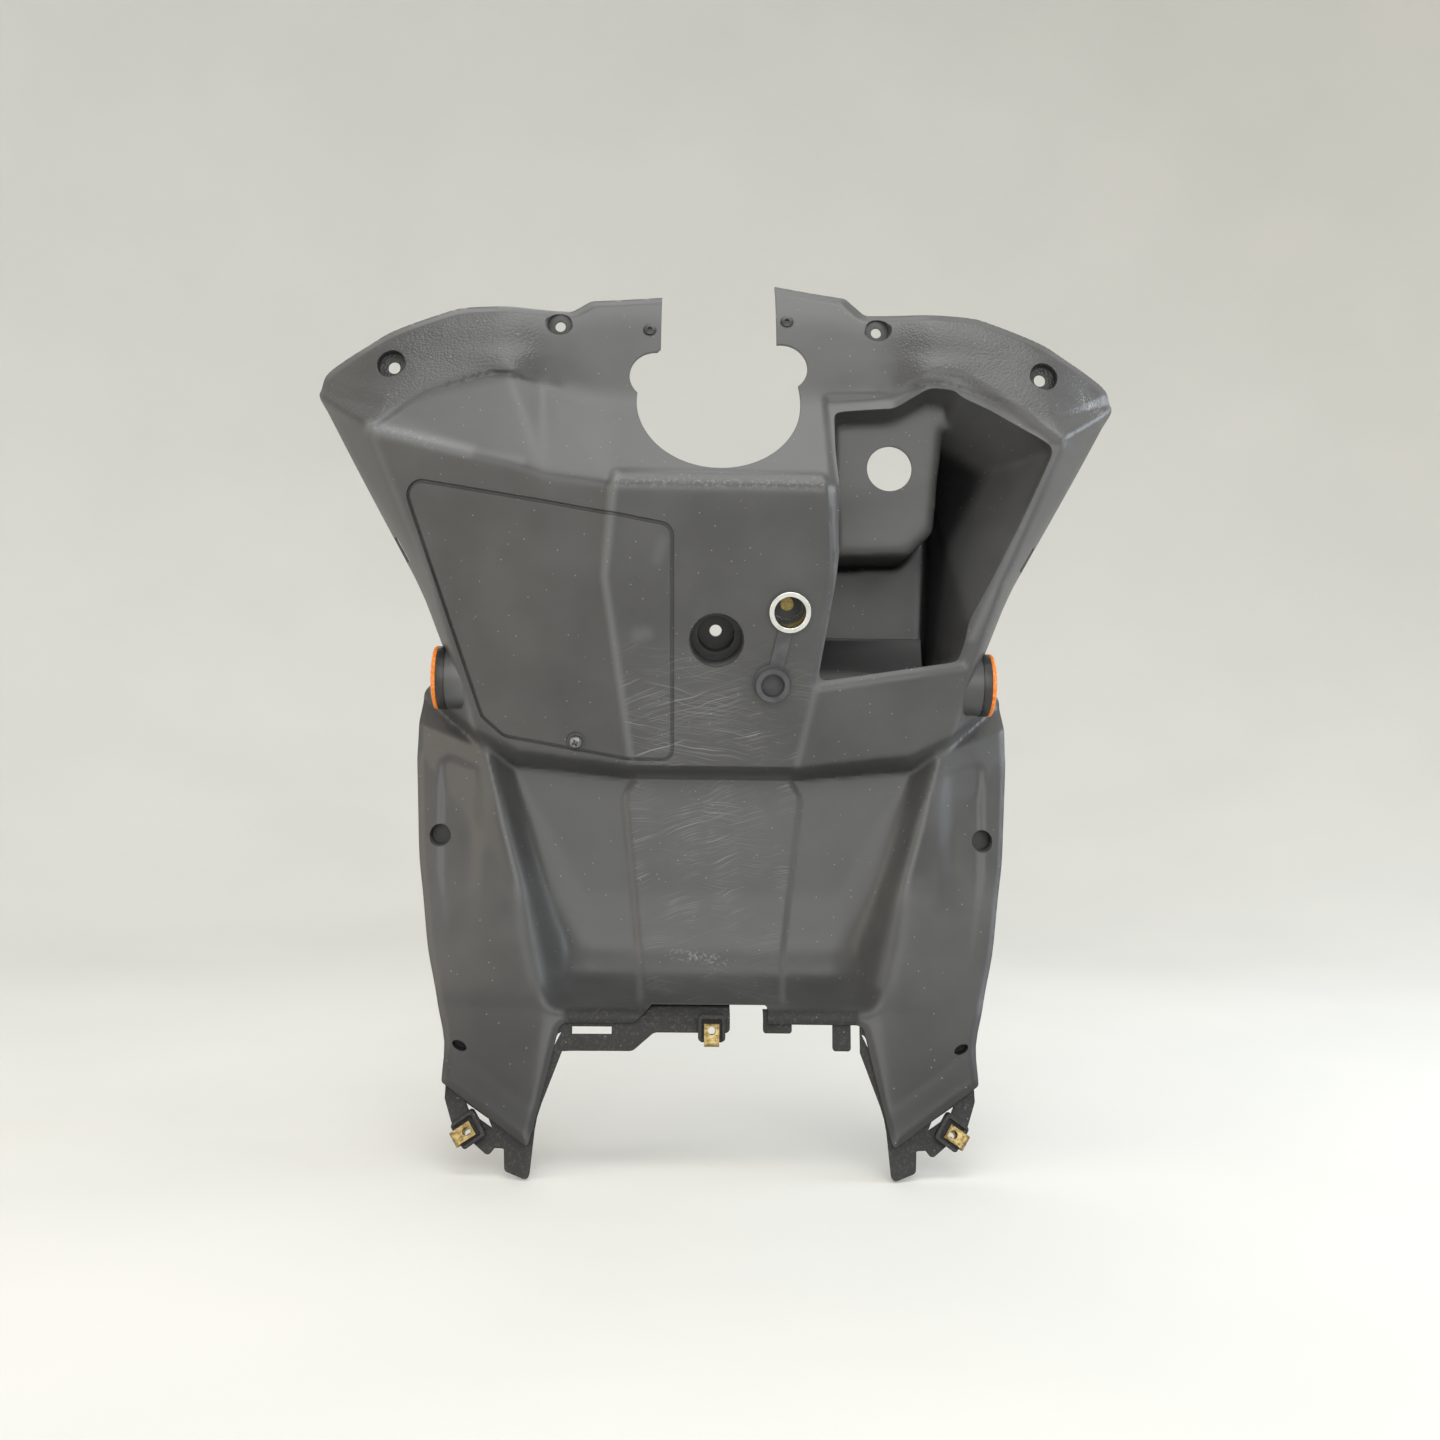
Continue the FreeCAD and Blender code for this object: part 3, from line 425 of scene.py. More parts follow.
def lathe(name, profile, frame_at, turns=64, rib=0.0):
    """Closed body turned about local Z from (radius, height) corners; a rib lifts every other spoke."""
    corners = len(profile)
    widest = max(radius for radius, height in profile)
    verts = []
    for j in range(turns):
        angle = 2 * math.pi * j / turns
        for radius, height in profile:
            reach = radius + rib * (j % 2) * (radius > 0.97 * widest)
            verts.append((reach * math.cos(angle), reach * math.sin(angle), height))
    faces = []
    for j in range(turns):
        here, after = j * corners, (j + 1) % turns * corners
        for k in range(corners):
            following = (k + 1) % corners
            faces.append([here + k, after + k, after + following, here + following])
    thing = piece(name, verts, faces, frame_at)
    work = bmesh.new()
    work.from_mesh(thing.data)
    bmesh.ops.remove_doubles(work, verts=work.verts, dist=1e-7)
    bmesh.ops.dissolve_degenerate(work, edges=work.edges, dist=1e-7)
    bmesh.ops.recalc_face_normals(work, faces=work.faces)
    work.to_mesh(thing.data)
    work.free()
    return thing


def drill(name, diameter, frame_at, start=-REACH, end=REACH, turns=64):
    """Round bar along local Z, to cut a hole or stand as a boss."""
    radius = diameter / 2
    return lathe(name, [(0, start), (radius, start), (radius, end), (0, end)], frame_at, turns)


def straight(x, z, turn=0.0):
    """Frame at the front view's zero depth, local Z pointing back."""
    return toward((x, 0, z), (0, 1, 0)) @ Matrix.Rotation(turn, 4, "Z")


def softened(thing, voxel, rounds):
    """Rounds a closed body's edges over a few millimetres."""
    cells = thing.modifiers.new("cells", "REMESH")
    cells.mode = "VOXEL"
    cells.voxel_size = voxel * MM
    smooth_out = thing.modifiers.new("smooth", "SMOOTH")
    smooth_out.factor = 0.5
    smooth_out.iterations = rounds
    return baked(thing)


# Steering notch between the arms, with a lobe on each side
NOTCH, NOTCH_HEIGHT = 114, 170.5
LOBE = 37
THROAT = [(-41, 2 * REACH), (41, 2 * REACH), (41, 170), (-41, 170)]
notch = joined([
    drill("notch", NOTCH, straight(0, NOTCH_HEIGHT), turns=128), drill("lobe", LOBE, straight(-44, 189)),
    drill("lobe", LOBE, straight(44, 197)), prism("throat", THROAT)])

# Pocket: a hollow with soft inner corners, and the tub round it
SHOULDER = 5.0
POCKET_DEPTH = 115.0
SHELF_DEPTH = 52.0
BIN_FRONT = 50.0
CLEAR_FRONT = -60
SOFT_CELL = 2.6
SOFT_ROUNDS = 20
hollow = joined([
    tapered("deep", POCKET_MOUTH, POCKET_BACK, SHOULDER, POCKET_DEPTH),
    prism("entry", POCKET_MOUTH, CLEAR_FRONT, SHOULDER + 1),
    tapered("shelf", PLATFORM, PLATFORM_BACK, SHOULDER, SHELF_DEPTH),
    prism("shelf_entry", PLATFORM, CLEAR_FRONT, SHOULDER + 1), prism("bin", BIN, BIN_FRONT, POCKET_DEPTH)])
softened(hollow, SOFT_CELL, SOFT_ROUNDS)
tub = hollow.copy()
tub.data = hollow.data.copy()
bpy.context.scene.collection.objects.link(tub)
swell = tub.modifiers.new("swell", "DISPLACE")
swell.strength = WALL * MM
swell.mid_level = 0
baked(tub)
# The back wall of the pocket steps forward low down
RAMP = [(114, 12), (117, 12), (117, -20), (100, -20), (100, -17)]
ramp = prism("ramp", RAMP, -155, -72, Matrix.Rotation(math.radians(90), 4, "Z"))

# Cups behind the screw places and the centre bolt, cut off inside the skin;
# a screw cup is (x, z, mouth, depth, screw hole)
SCREW_CUPS = {"wing": (226, 190, 20, 15, 8.5), "top": (113, 228, 17, 9, 7.5), "side": (190, -134, 14, 14, 0)}
BOLT_LEAN = math.radians(15.5)
bolt_frame = toward((0, 0, 0), (0, math.cos(BOLT_LEAN), math.sin(BOLT_LEAN)))
BOLT_MOUTH = [
    (0, -REACH), (18.9, -REACH), (18.9, -0.8), (18.2, 0.2), (17.7, 1.6), (17.5, 3.4), (17.5, 22), (0, 22)]
BOLT_CUP, BOLT_STEP, BOLT_BORE = 42, 25, 8.4
CUP_WALL = 2.5
cups = [tub, drill("bolt_cup", BOLT_CUP, bolt_frame, -20, 39)]
holes = [
    hollow, lathe("bolt_mouth", BOLT_MOUTH, bolt_frame, 96),
    drill("bolt_step", BOLT_STEP, bolt_frame, 10, 36), drill("bolt_bore", BOLT_BORE, bolt_frame, 10)]
for x, z, mouth, deep, screw in SCREW_CUPS.values():
    for side in (-1, 1):
        floor = float(sampled(flat, x * side, z)) + deep
        at = straight(x * side, z)
        cups.append(drill("cup", mouth + 2 * CUP_WALL, at, CLEAR_FRONT, floor + CUP_WALL, 48))
        lip = floor - deep
        radius = mouth / 2
        recess = [
            (0, -REACH), (radius + 1.2, -REACH), (radius + 1.2, lip), (radius + 0.3, lip + 1),
            (radius, lip + 2.4), (radius, floor), (0, floor)]
        holes.append(lathe("recess", recess, at, 56))
        if screw:
            holes.append(drill("screw_hole", screw, at, turns=40))
# Blind slots low on the legs, and slots in the flanks
LOW_SLOT_X, LOW_SLOT_Z, LOW_SLOT_DEPTH = 166, -270, 9
LOW_SLOT_LENGTH, LOW_SLOT_NARROW, LOW_CUP = 10.4, 0.54, 16
SLOT_TURN = math.radians(-22)
FLANK_SLOT = [(204, 55.5), (290, 55.5), (290, 72.5), (204, 72.5)]
FLANK_SLOT_FRONT, FLANK_SLOT_BACK = 41, 54
for side in (-1, 1):
    x = LOW_SLOT_X * side
    floor = float(sampled(flat, x, LOW_SLOT_Z)) + LOW_SLOT_DEPTH
    at = straight(x, LOW_SLOT_Z, SLOT_TURN * side) @ Matrix.Diagonal((1, LOW_SLOT_NARROW, 1, 1))
    cups.append(drill("low_cup", LOW_CUP, straight(x, LOW_SLOT_Z), CLEAR_FRONT, floor + CUP_WALL, 40))
    holes.append(drill("low_slot", LOW_SLOT_LENGTH, at, CLEAR_FRONT, floor, 40))
    slot = [(slot_x * side, slot_z) for slot_x, slot_z in FLANK_SLOT]
    holes.append(tapered("flank_slot", slot, slot, FLANK_SLOT_FRONT, FLANK_SLOT_BACK))
SWITCH_HOLE = 32
holes.append(drill("switch_hole", SWITCH_HOLE, straight(122, 128), 20, turns=72))
cups = worked(joined(cups), "INTERSECT", [behind("half_wall", WALL / 2)])

# Flanges set back below the lower edges, with slots and tabs
low_window = (-180, -354, 180, -232)


def tab_corners(name, half, down, up):
    """Corners of a rectangle about a tab, turned with it."""
    x, z, turn = TABS[name]
    spin = Matrix.Rotation(math.radians(turn), 2)
    corners = ((-half, up), (-half, -down), (half, -down), (half, up))
    return [tuple(Vector((x, z)) + spin @ Vector(corner)) for corner in corners]


flange_prisms = [LEG_FLANGE, mirrored(LEG_FLANGE), SILL_FLANGE, HOOK_LUG, SMALL_LUG]
slot_prisms = [LEG_SLOT, mirrored(LEG_SLOT), ARCH_SLOT, mirrored(ARCH_SLOT), SILL_SLOT]
for name in TABS:
    flange_prisms.append(tab_corners(name, 7, 8, 14))
    slot_prisms.append(tab_corners(name, 3, 3, 3))
flange_plan = joined([prism("flange", corners) for corners in flange_prisms])
worked(flange_plan, "DIFFERENCE", [prism("slot", corners) for corners in slot_prisms])
flanges = worked(layer("flanges", 2.0, 4.4, low_window), "INTERSECT", [flange_plan])
# An arched collar stands round each tab
collars = []
for name in TABS:
    collar = prism("collar", [corner + (2.5,) for corner in tab_corners(name, 9, 7, 10)])
    room = prism("collar_room", [corner + (1.5,) for corner in tab_corners(name, 6.8, 14, 7.6)])
    collars.append(worked(collar, "DIFFERENCE", [room]))
collars = worked(layer("collars", -1.5, 4.0, low_window), "INTERSECT", [joined(collars)])

# Rebate ledge behind the cover, and the post that takes the cover screw
cover_window = (-224, -94, -16, 120)
COVER_WALL, COVER_ROOM, COVER_SEAM = 2.0, 1.5, 0.9
POST, PILOT_HOLE, SCREW_HOLE = 10.6, 4.8, 5.2
ring = worked(prism("ring", grown(COVER, WALL)), "DIFFERENCE", [prism("ring_hole", grown(COVER, -7))])
ring = joined([ring, prism("bridge", [(-104, -84), (-85, -84), (-85, -59), (-104, -59)])])
ledge = worked(layer("ledge", 2.3, 4.5, cover_window), "INTERSECT", [ring])
screw_seat = seat(-94.5, -69)
post = drill("post", POST, screw_seat, -20.3, -2.4, 32)

# Reflector bosses behind the ridge, hollow inside, with room cut for the reflectors
DRUM, DRUM_CORE, REFLECTOR_ROOM = 43, 37, 45.6
DRUM_END = 186
DRUM_AXIS = (0, 47.5, -25)
drums = []
drum_frames = {"left": toward(DRUM_AXIS, (-1, 0, 0)), "right": toward(DRUM_AXIS, (1, 0, 0))}
for at in drum_frames.values():
    drums.append(drill("drum", DRUM, at, 168.5, DRUM_END, 72))
    holes.append(drill("drum_core", DRUM_CORE, at, 168, DRUM_END - WALL))
    holes.append(drill("reflector_room", REFLECTOR_ROOM, at, DRUM_END, 300, 72))
SOCKET_HOLE = 23.4
holes.append(drill("socket_hole", SOCKET_HOLE, seat(48.5, 19.5), -30, 40, 56))
holes.append(drill("pilot_hole", PILOT_HOLE, screw_seat, -18, 10, 24))

shield = layer("leg_shield_moulding", 0, WALL, face=skin)
worked(shield, "INTERSECT", [prism("rim", RIM)])
cover_opening = prism("cover_opening", grown(COVER, COVER_ROOM))
worked(shield, "DIFFERENCE", [prism("sill_notch", SILL_NOTCH), notch, cover_opening])
worked(shield, "UNION", [cups, flanges, collars, ledge, post] + drums)
worked(shield, "DIFFERENCE", holes)
worked(shield, "UNION", [ramp])

cover = layer("battery_cover_moulding", 0, COVER_WALL, cover_window)
worked(cover, "INTERSECT", [prism("cover", grown(COVER, -COVER_SEAM))])
SCREW_DISH = [(5.0, 6), (7.8, 6), (7.4, -0.6), (6.6, -1.6), (5.0, -1.6)]
screw_dish = lathe("screw_dish", SCREW_DISH, screw_seat)
worked(cover, "DIFFERENCE", [screw_dish, drill("cover_hole", SCREW_HOLE, screw_seat, -10, 10, 32)])


def fitted(thing, slot, *replaced, degrees=38):
    """Rides a finished piece on the shield, its edges sharp past an angle."""
    thing.data.shade_smooth()
    thing.data.set_sharp_from_angle(angle=math.radians(degrees))
    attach(thing, "root")
    if replaced:
        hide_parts(*replaced)
    return thing


fitted(shield, "moulded_plastic", "leg_shield")
fitted(cover, "moulded_plastic", "battery_cover")

# Pan-head cross screw of the cover
PAN_HEAD = [
    (0, 2.8), (1.6, 2.75), (3.0, 2.5), (3.9, 2.0), (4.4, 1.3), (4.5, 0.6), (4.4, 0.1), (2.3, 0.1), (2.3, -13),
    (0.5, -15), (0, -15)]
cover_screw = lathe("pan_head_screw", PAN_HEAD, screw_seat, 56)
upright = screw_seat @ Matrix.Rotation(math.radians(20), 4, "Z")
RECESS_FLOOR = [(-1.3, -0.45), (1.3, -0.45), (1.3, 0.45), (-1.3, 0.45)]
RECESS_MOUTH = [(-2.5, -0.65), (2.5, -0.65), (2.5, 0.65), (-2.5, 0.65)]
for quarter in (0, 90):
    arm = upright @ Matrix.Rotation(math.radians(quarter), 4, "Z") @ Matrix.Rotation(math.radians(90), 4, "X")
    recess_arm = tapered("recess_arm", RECESS_FLOOR, RECESS_MOUTH, 0.9, 3.4, arm)
    worked(cover_screw, "DIFFERENCE", [recess_arm])
fitted(cover_screw, "zinc_steel", "cover_screw", degrees=30)

# Spring clip nuts: a strip folded round each tab, a hole, two dimples and a threaded barrel behind
FOLD_CENTRE, FOLD_LEVEL, FOLD_STEPS = -8.2, -1.2, 12
FOLD_OUTER, FOLD_INNER = 2.3, 1.3
HALF_CLIP = 5
clip_profile = [(4.4, 1.5), (3.4, 1.1)]
fold = [math.pi / 2 + math.pi * k / FOLD_STEPS for k in range(FOLD_STEPS + 1)]
for turn in fold:
    clip_profile.append((FOLD_CENTRE + FOLD_OUTER * math.cos(turn), FOLD_LEVEL + FOLD_OUTER * math.sin(turn)))
clip_profile += [(3.5, -3.5), (3.5, -2.5)]
for turn in reversed(fold):
    clip_profile.append((FOLD_CENTRE + FOLD_INNER * math.cos(turn), FOLD_LEVEL + FOLD_INNER * math.sin(turn)))
clip_profile += [(3.4, 0.1), (4.4, 0.5)]
CLIP_HOLE = 5.6
DIMPLE = [(0, 1.75), (0.5, 1.65), (0.85, 1.3), (0.95, 0.9), (0, 0.9)]
BARREL = [(2.4, -2.8), (4.2, -2.8), (4.0, -5.4), (3.6, -6.6), (2.4, -6.6)]
clips = []
for x, z, turn in TABS.values():
    at = seat(x, z, 2.0) @ Matrix.Rotation(math.radians(turn), 4, "Z")
    across = at @ Matrix.Rotation(math.radians(90), 4, "Z")
    clip = prism("clip", clip_profile, -HALF_CLIP, HALF_CLIP, across)
    worked(clip, "DIFFERENCE", [drill("clip_hole", CLIP_HOLE, at, -8, 4, 32)])
    dimples = [lathe("dimple", DIMPLE, at @ Matrix.Translation((side, -6, 0)), 16) for side in (-3, 3)]
    worked(clip, "UNION", [lathe("barrel", BARREL, at, 32)] + dimples)
    clips.append(clip)
clip_nuts = joined(clips)
clip_nuts.name = "spring_clip_nuts"
fitted(clip_nuts, "zinc_steel", "clip_nuts", degrees=30)

# Push rivets at the tips of the steering arms
RIVET = [
    (0, 0.5), (1.2, 0.5), (1.3, 1.4), (1.8, 1.75), (3.4, 1.6), (4.5, 1.0), (4.75, 0), (2.9, 0), (2.9, -5),
    (0, -6)]
for side, place in {"left": (-49.1, 225.1), "right": (48.6, 233.9)}.items():
    rivet = lathe("arm_rivet_" + side, RIVET, seat(*place, field=skin), 40)
    fitted(rivet, "black_plastic", degrees=30)

# Reflector lenses with a ribbed edge
LENS = [(0, 195.2), (15, 195.2), (19, 195.0), (21.2, 194.3), (21.8, 193.2), (21.8, 191.7), (0, 191.7)]
for side, at in drum_frames.items():
    lens = lathe("ribbed_lens_" + side, LENS, at, 180, rib=0.25)
    fitted(lens, "amber_lens", "reflector_lens_" + side, degrees=25)

# Small rounds on the moulded and turned edges of the fitted pieces
for name, width in {
        "socket_shell": 0.6, "socket_cap": 0.55, "socket_insulator": 0.3, "socket_centre_contact": 0.4,
        "socket_ring_nut": 0.5, "reflector_housing_left": 0.8, "reflector_housing_right": 0.8}.items():
    weld = nodes[name].modifiers.new("weld", "WELD")
    weld.merge_threshold = 0.01 * MM
    edge = nodes[name].modifiers.new("edge", "BEVEL")
    edge.width = width * MM
    edge.segments = 3
    edge.limit_method = "ANGLE"
    edge.angle_limit = math.radians(40)
    edge.harden_normals = True


def painted(thing, name, value):
    """Stores a number from 0 to 1 at each point of a piece, for its material to read."""
    mark = thing.data.attributes.new(name, "FLOAT", "POINT")
    mark.data.foreach_set("value", np.clip(value, 0, 1).astype(np.float32))


def places(thing):
    """Coordinates of a piece's points in millimetres."""
    flat_list = np.empty(3 * len(thing.data.vertices), np.float32)
    thing.data.vertices.foreach_get("co", flat_list)
    return flat_list.reshape(-1, 3).T.astype(float) / MM


def stroke(points, x, z, width):
    """One along a line of points in the front view, fading to nothing over a width."""
    nearest = np.full(x.shape, FAR)
    for (ax, az), (bx, bz) in zip(points[:-1], points[1:]):
        run, rise = bx - ax, bz - az
        along = np.clip(((x - ax) * run + (z - az) * rise) / (run * run + rise * rise), 0, 1)
        nearest = np.minimum(nearest, np.hypot(x - ax - along * run, z - az - along * rise))
    return 1 - ease(nearest / width)


# Wear of the moulding, speckled where it was rubbed, and pale painted highlights laid along its creases and
# edges.
# Each is a line in the front view, its width in millimetres and its strength
RUBBED = [
    ([(255, 176), (266, 165)], 10, 1.0), ([(-66, 101), (70, 101)], 5, 0.5),
    ([(-25, -215), (8, -219)], 6, 0.8), ([(-233, 140), (-190, 128)], 7, 0.35)]
# Painted highlights: pale lines where light catches the creases, lips and edges
PAINTED_HIGHLIGHTS = [
    ([(-68, 108), (-75, 40), (-57, -80)], 4.5, 0.7), ([(74, 99), (80, 41), (69, -25), (57, -82)], 4.5, 0.5),
    ([(-233, 139), (-200, 131), (-165, 122)], 8, 0.9), ([(-165, 122), (-131, 115)], 6, 0.4),
    ([(-233, 137), (-196, 45), (-166, -59)], 4, 0.5), ([(229, 134), (197, 60), (175, 6)], 4.5, 0.5),
    ([(70, -27), (169, -11)], 4, 0.4), ([(126, 181), (152, 187), (202, 168), (230, 138)], 5, 0.3),
    ([(-48, -240), (-62, -106), (-52, -92), (52, -92), (62, -106), (48, -240)], 4, 0.4),
    ([(-158, -75), (-128, -175), (-113, -229)], 5, 0.3), ([(158, -75), (128, -175), (113, -229)], 5, 0.3),
    ([(-53, 3), (-47, 4)], 8, 0.35), ([(-36, 64), (-40, 52)], 7, 0.25)]
for thing in (shield, cover):
    x, y, z = places(thing)
    edge_room = sampled(rim_room, x, z)
    sunk = y - sampled(under_skin, x, z)
    # Leather grain lies on the brows, inside their rim band
    brow_room = np.maximum(inside(drawn(BROW), x, z), inside(drawn(mirrored(BROW)), x, z))
    painted(thing, "leather", ease(brow_room / 14 + 0.4) * ease((edge_room - RIM_BAND_WIDTH + 0.5) / 2))
    painted(thing, "rubbed", sum(share * stroke(line, x, z, width) for line, width, share in RUBBED))
    # Painted highlight along the creases and edges, kept off the sunk faces
    highlight = np.max([share * stroke(line, x, z, width) for line, width, share in PAINTED_HIGHLIGHTS], axis=0)
    painted(thing, "painted_highlight", highlight * (1 - ease((sunk - 2) / 3)))
    # Flanges lie past the rim, below the sill, and set back at the ankles
    below_sill = ease((-243 - z) / 3) * (1 - ease((np.abs(x) - 96) / 4))
    set_back = ease((-234 - z) / 6) * ease((sunk - 1.2) / 0.6)
    flange = np.maximum.reduce([ease(-edge_room - 0.5), below_sill, set_back])
    painted(thing, "dirt", flange)
    # Painted shade: recesses, the pocket's depths and the legs towards the feet are darkened in colour, and
    # the flanges take the same dark grey
    pocket_room = sampled(inside(drawn(POCKET_LIP)), x, z)
    recesses = ease((sunk - 5) / 8) * (1 - ease((pocket_room + 14) / 6))
    pocket_depths = ease((sunk - 58) / 22)
    feet = 0.8 * ease((-205 - z) / 110)
    painted(thing, "painted_shade_and_flange", np.maximum.reduce([flange, recesses, pocket_depths, feet]))
    # Knees and bags scratch the knee panel and the low half of the console
    on_panel = ease(inside(drawn(KNEE_PANEL), x, z) / 4) * (0.35 + 0.65 * ease((z + 225) / 60))
    on_console = ease(inside(drawn(CONSOLE), x, z) / 4) * ease((15 - z) / 70)
    painted(thing, "scratched", on_panel + on_console)


def srgb(code):
    """Linear colour of an sRGB hex value."""
    channels = [int(code[k:k + 2], 16) / 255 for k in (1, 3, 5)]
    return [c / 12.92 if c <= 0.04045 else ((c + 0.055) / 1.055) ** 2.4 for c in channels] + [1.0]


def node(tree, kind, inputs=(), **settings):
    """Adds a node with its settings; an input is a value, a socket, or a node linked by its first output."""
    made = tree.nodes.new(kind)
    for name, value in settings.items():
        setattr(made, name, value)
    for name, value in dict(inputs).items():
        if isinstance(value, bpy.types.Node):
            value = next(socket for socket in value.outputs if socket.enabled)
        if isinstance(value, bpy.types.NodeSocket):
            tree.links.new(value, made.inputs[name])
        else:
            made.inputs[name].default_value = value
    return made


def material(name, **sockets):
    """Material with its constant values set on the shader's own sockets."""
    made = bpy.data.materials.new(name)
    made.use_nodes = True
    shader = made.node_tree.nodes["Principled BSDF"]
    for socket, value in sockets.items():
        shader.inputs[socket.replace("_", " ")].default_value = value
    return made, made.node_tree, shader


def given(thing, surface):
    """Makes a material the only one of a piece."""
    thing.data.materials.clear()
    thing.data.materials.append(surface)


# Polypropylene moulded in a spark-eroded tool: dark grey, half matt, a fine even grain, leather grain on the
# brows, painted shade in recesses and low down, pale painted highlights on creases, pale where rubbed and
# scratched, dusty where nothing wipes it
polypropylene, tree, shader = material("moulded_polypropylene", IOR=1.49)
spot = node(tree, "ShaderNodeTexCoord").outputs["Object"]
marks = {}
for name in ("leather", "rubbed", "painted_highlight", "dirt", "painted_shade_and_flange", "scratched"):
    marks[name] = node(tree, "ShaderNodeAttribute", attribute_name=name).outputs["Fac"]
# Cloudy patterns as (millimetres, detail, roughness); the tool's grain is nearer 0.3 mm, and is drawn coarser
# so that it shows
CLOUDS = {
    "bloom": (55, 5.0, 0.5), "speck": (2.2, 6.0, 0.7), "grain": (1.3, 2.0, 0.5), "stray": (60, 2.0, 0.5)}
clouds = {}
for name, (size, detail, roughness) in CLOUDS.items():
    values = {"Vector": spot, "Scale": 1 / (size * MM), "Detail": detail, "Roughness": roughness}
    clouds[name] = node(tree, "ShaderNodeTexNoise", values)
# Pebbles of the leather grain, and pale crumbs chipped from the skin
PEBBLE, CRUMB = 1.9, 7
pebble = node(tree, "ShaderNodeTexVoronoi", {"Vector": spot, "Scale": 1 / (PEBBLE * MM)})
crumb = node(tree, "ShaderNodeTexVoronoi", {"Vector": spot, "Scale": 1 / (CRUMB * MM)})
# Wiping scratches a tenth of a millimetre wide, drawn wider so that they show, stray a little from straight.
# A set of them is (lean in degrees, millimetres of the patches it comes in, strength)
SCRATCH_SIZE = (60 * MM, 60 * MM, 0.5 * MM)
SCRATCH_SETS = ((-19, 24, 0.6), (9, 36, 0.4))
STRAY = [20 * MM] * 3
stray = {0: clouds["stray"].outputs["Color"], 1: STRAY}
stray = node(tree, "ShaderNodeVectorMath", stray, operation="MULTIPLY")
strayed = node(tree, "ShaderNodeVectorMath", {0: spot, 1: stray}, operation="ADD")
streaks = []
for lean, patch, most in SCRATCH_SETS:
    leaning = {"Vector": strayed, "Rotation": (0, math.radians(lean), 0), "Scale": SCRATCH_SIZE}
    along = node(tree, "ShaderNodeMapping", leaning, vector_type="TEXTURE")
    line = node(tree, "ShaderNodeTexNoise", {"Vector": along, "Scale": 1.0, "Detail": 2.0})
    streak = node(tree, "ShaderNodeMapRange", {
        "Value": line, "From Min": 0.56, "From Max": 0.70, "To Max": most})
    patches = node(tree, "ShaderNodeTexNoise", {"Vector": spot, "Scale": 1 / (patch * MM), "Detail": 3.0})
    patchy = node(tree, "ShaderNodeMapRange", {"Value": patches, "From Min": 0.45, "From Max": 0.62})
    for limit in (patchy, marks["scratched"]):
        streak = node(tree, "ShaderNodeMath", {0: streak, 1: limit}, operation="MULTIPLY")
    streaks.append(streak)
scratch = node(tree, "ShaderNodeMath", {0: streaks[0], 1: streaks[1]}, operation="MAXIMUM")
shade = node(tree, "ShaderNodeValToRGB", {"Fac": clouds["bloom"]})
for stop, (position, colour) in zip(shade.color_ramp.elements, ((0.36, "#3c3c3c"), (0.66, "#464646"))):
    stop.position = position
    stop.color = srgb(colour)
# Coats over that grey: a pattern that rises between two values to a most, where it lies, and its colour
EVERY_FACE = 1.0
for pattern, low, high, most, where, colour in (
        # painted shade in recesses, the pocket's depths and towards the feet, and the flanges' dark grey
        (marks["painted_shade_and_flange"], 0.0, 1.0, 1.0, EVERY_FACE, "#1e1e1f"),
        # pale painted highlights along creases and edges
        (marks["painted_highlight"], 0.0, 1.0, 0.42, EVERY_FACE, "#86888a"),
        (scratch, 0.0, 1.0, 1.0, EVERY_FACE, "#939494"),
        (clouds["speck"], 0.50, 0.64, 0.55, marks["rubbed"], "#a8a9a7"),
        (crumb, 0.085, 0.04, 0.45, EVERY_FACE, "#a09f9b"),
        (clouds["speck"], 0.52, 0.74, 0.5, marks["dirt"], "#5f5b50")):
    coat = node(tree, "ShaderNodeMapRange", {
        "Value": pattern, "From Min": low, "From Max": high, "To Max": most})
    share = node(tree, "ShaderNodeMath", {0: coat, 1: where}, operation="MULTIPLY")
    shade = node(tree, "ShaderNodeMix", {"Factor": share, "A": shade, "B": srgb(colour)}, data_type="RGBA")
tree.links.new(shade.outputs["Result"], shader.inputs["Base Color"])
GLOSSY, DULL, DUSTY = 0.34, 0.44, 0.3
sheen = node(tree, "ShaderNodeMapRange", {
    "Value": clouds["bloom"], "From Min": 0.3, "From Max": 0.7, "To Min": GLOSSY, "To Max": DULL})
rough = node(tree, "ShaderNodeMath", {0: marks["dirt"], 1: DUSTY, 2: sheen}, operation="MULTIPLY_ADD")
tree.links.new(rough.outputs["Value"], shader.inputs["Roughness"])
EDGE_RADIUS, GRAIN_DEPTH, PEBBLE_DEPTH = 0.9 * MM, 0.12 * MM, 0.4 * MM
rounded = node(tree, "ShaderNodeBevel", {"Radius": EDGE_RADIUS}, samples=4)
fine = node(tree, "ShaderNodeBump", {
    "Height": clouds["grain"], "Strength": 0.3, "Distance": GRAIN_DEPTH, "Normal": rounded})
leather = node(tree, "ShaderNodeMath", {0: pebble, 1: marks["leather"]}, operation="MULTIPLY")
pebbled = {"Height": leather, "Strength": 0.7, "Distance": PEBBLE_DEPTH, "Normal": fine}
bump = node(tree, "ShaderNodeBump", pebbled, invert=True)
tree.links.new(bump.outputs["Normal"], shader.inputs["Normal"])
given(shield, polypropylene)
given(cover, polypropylene)


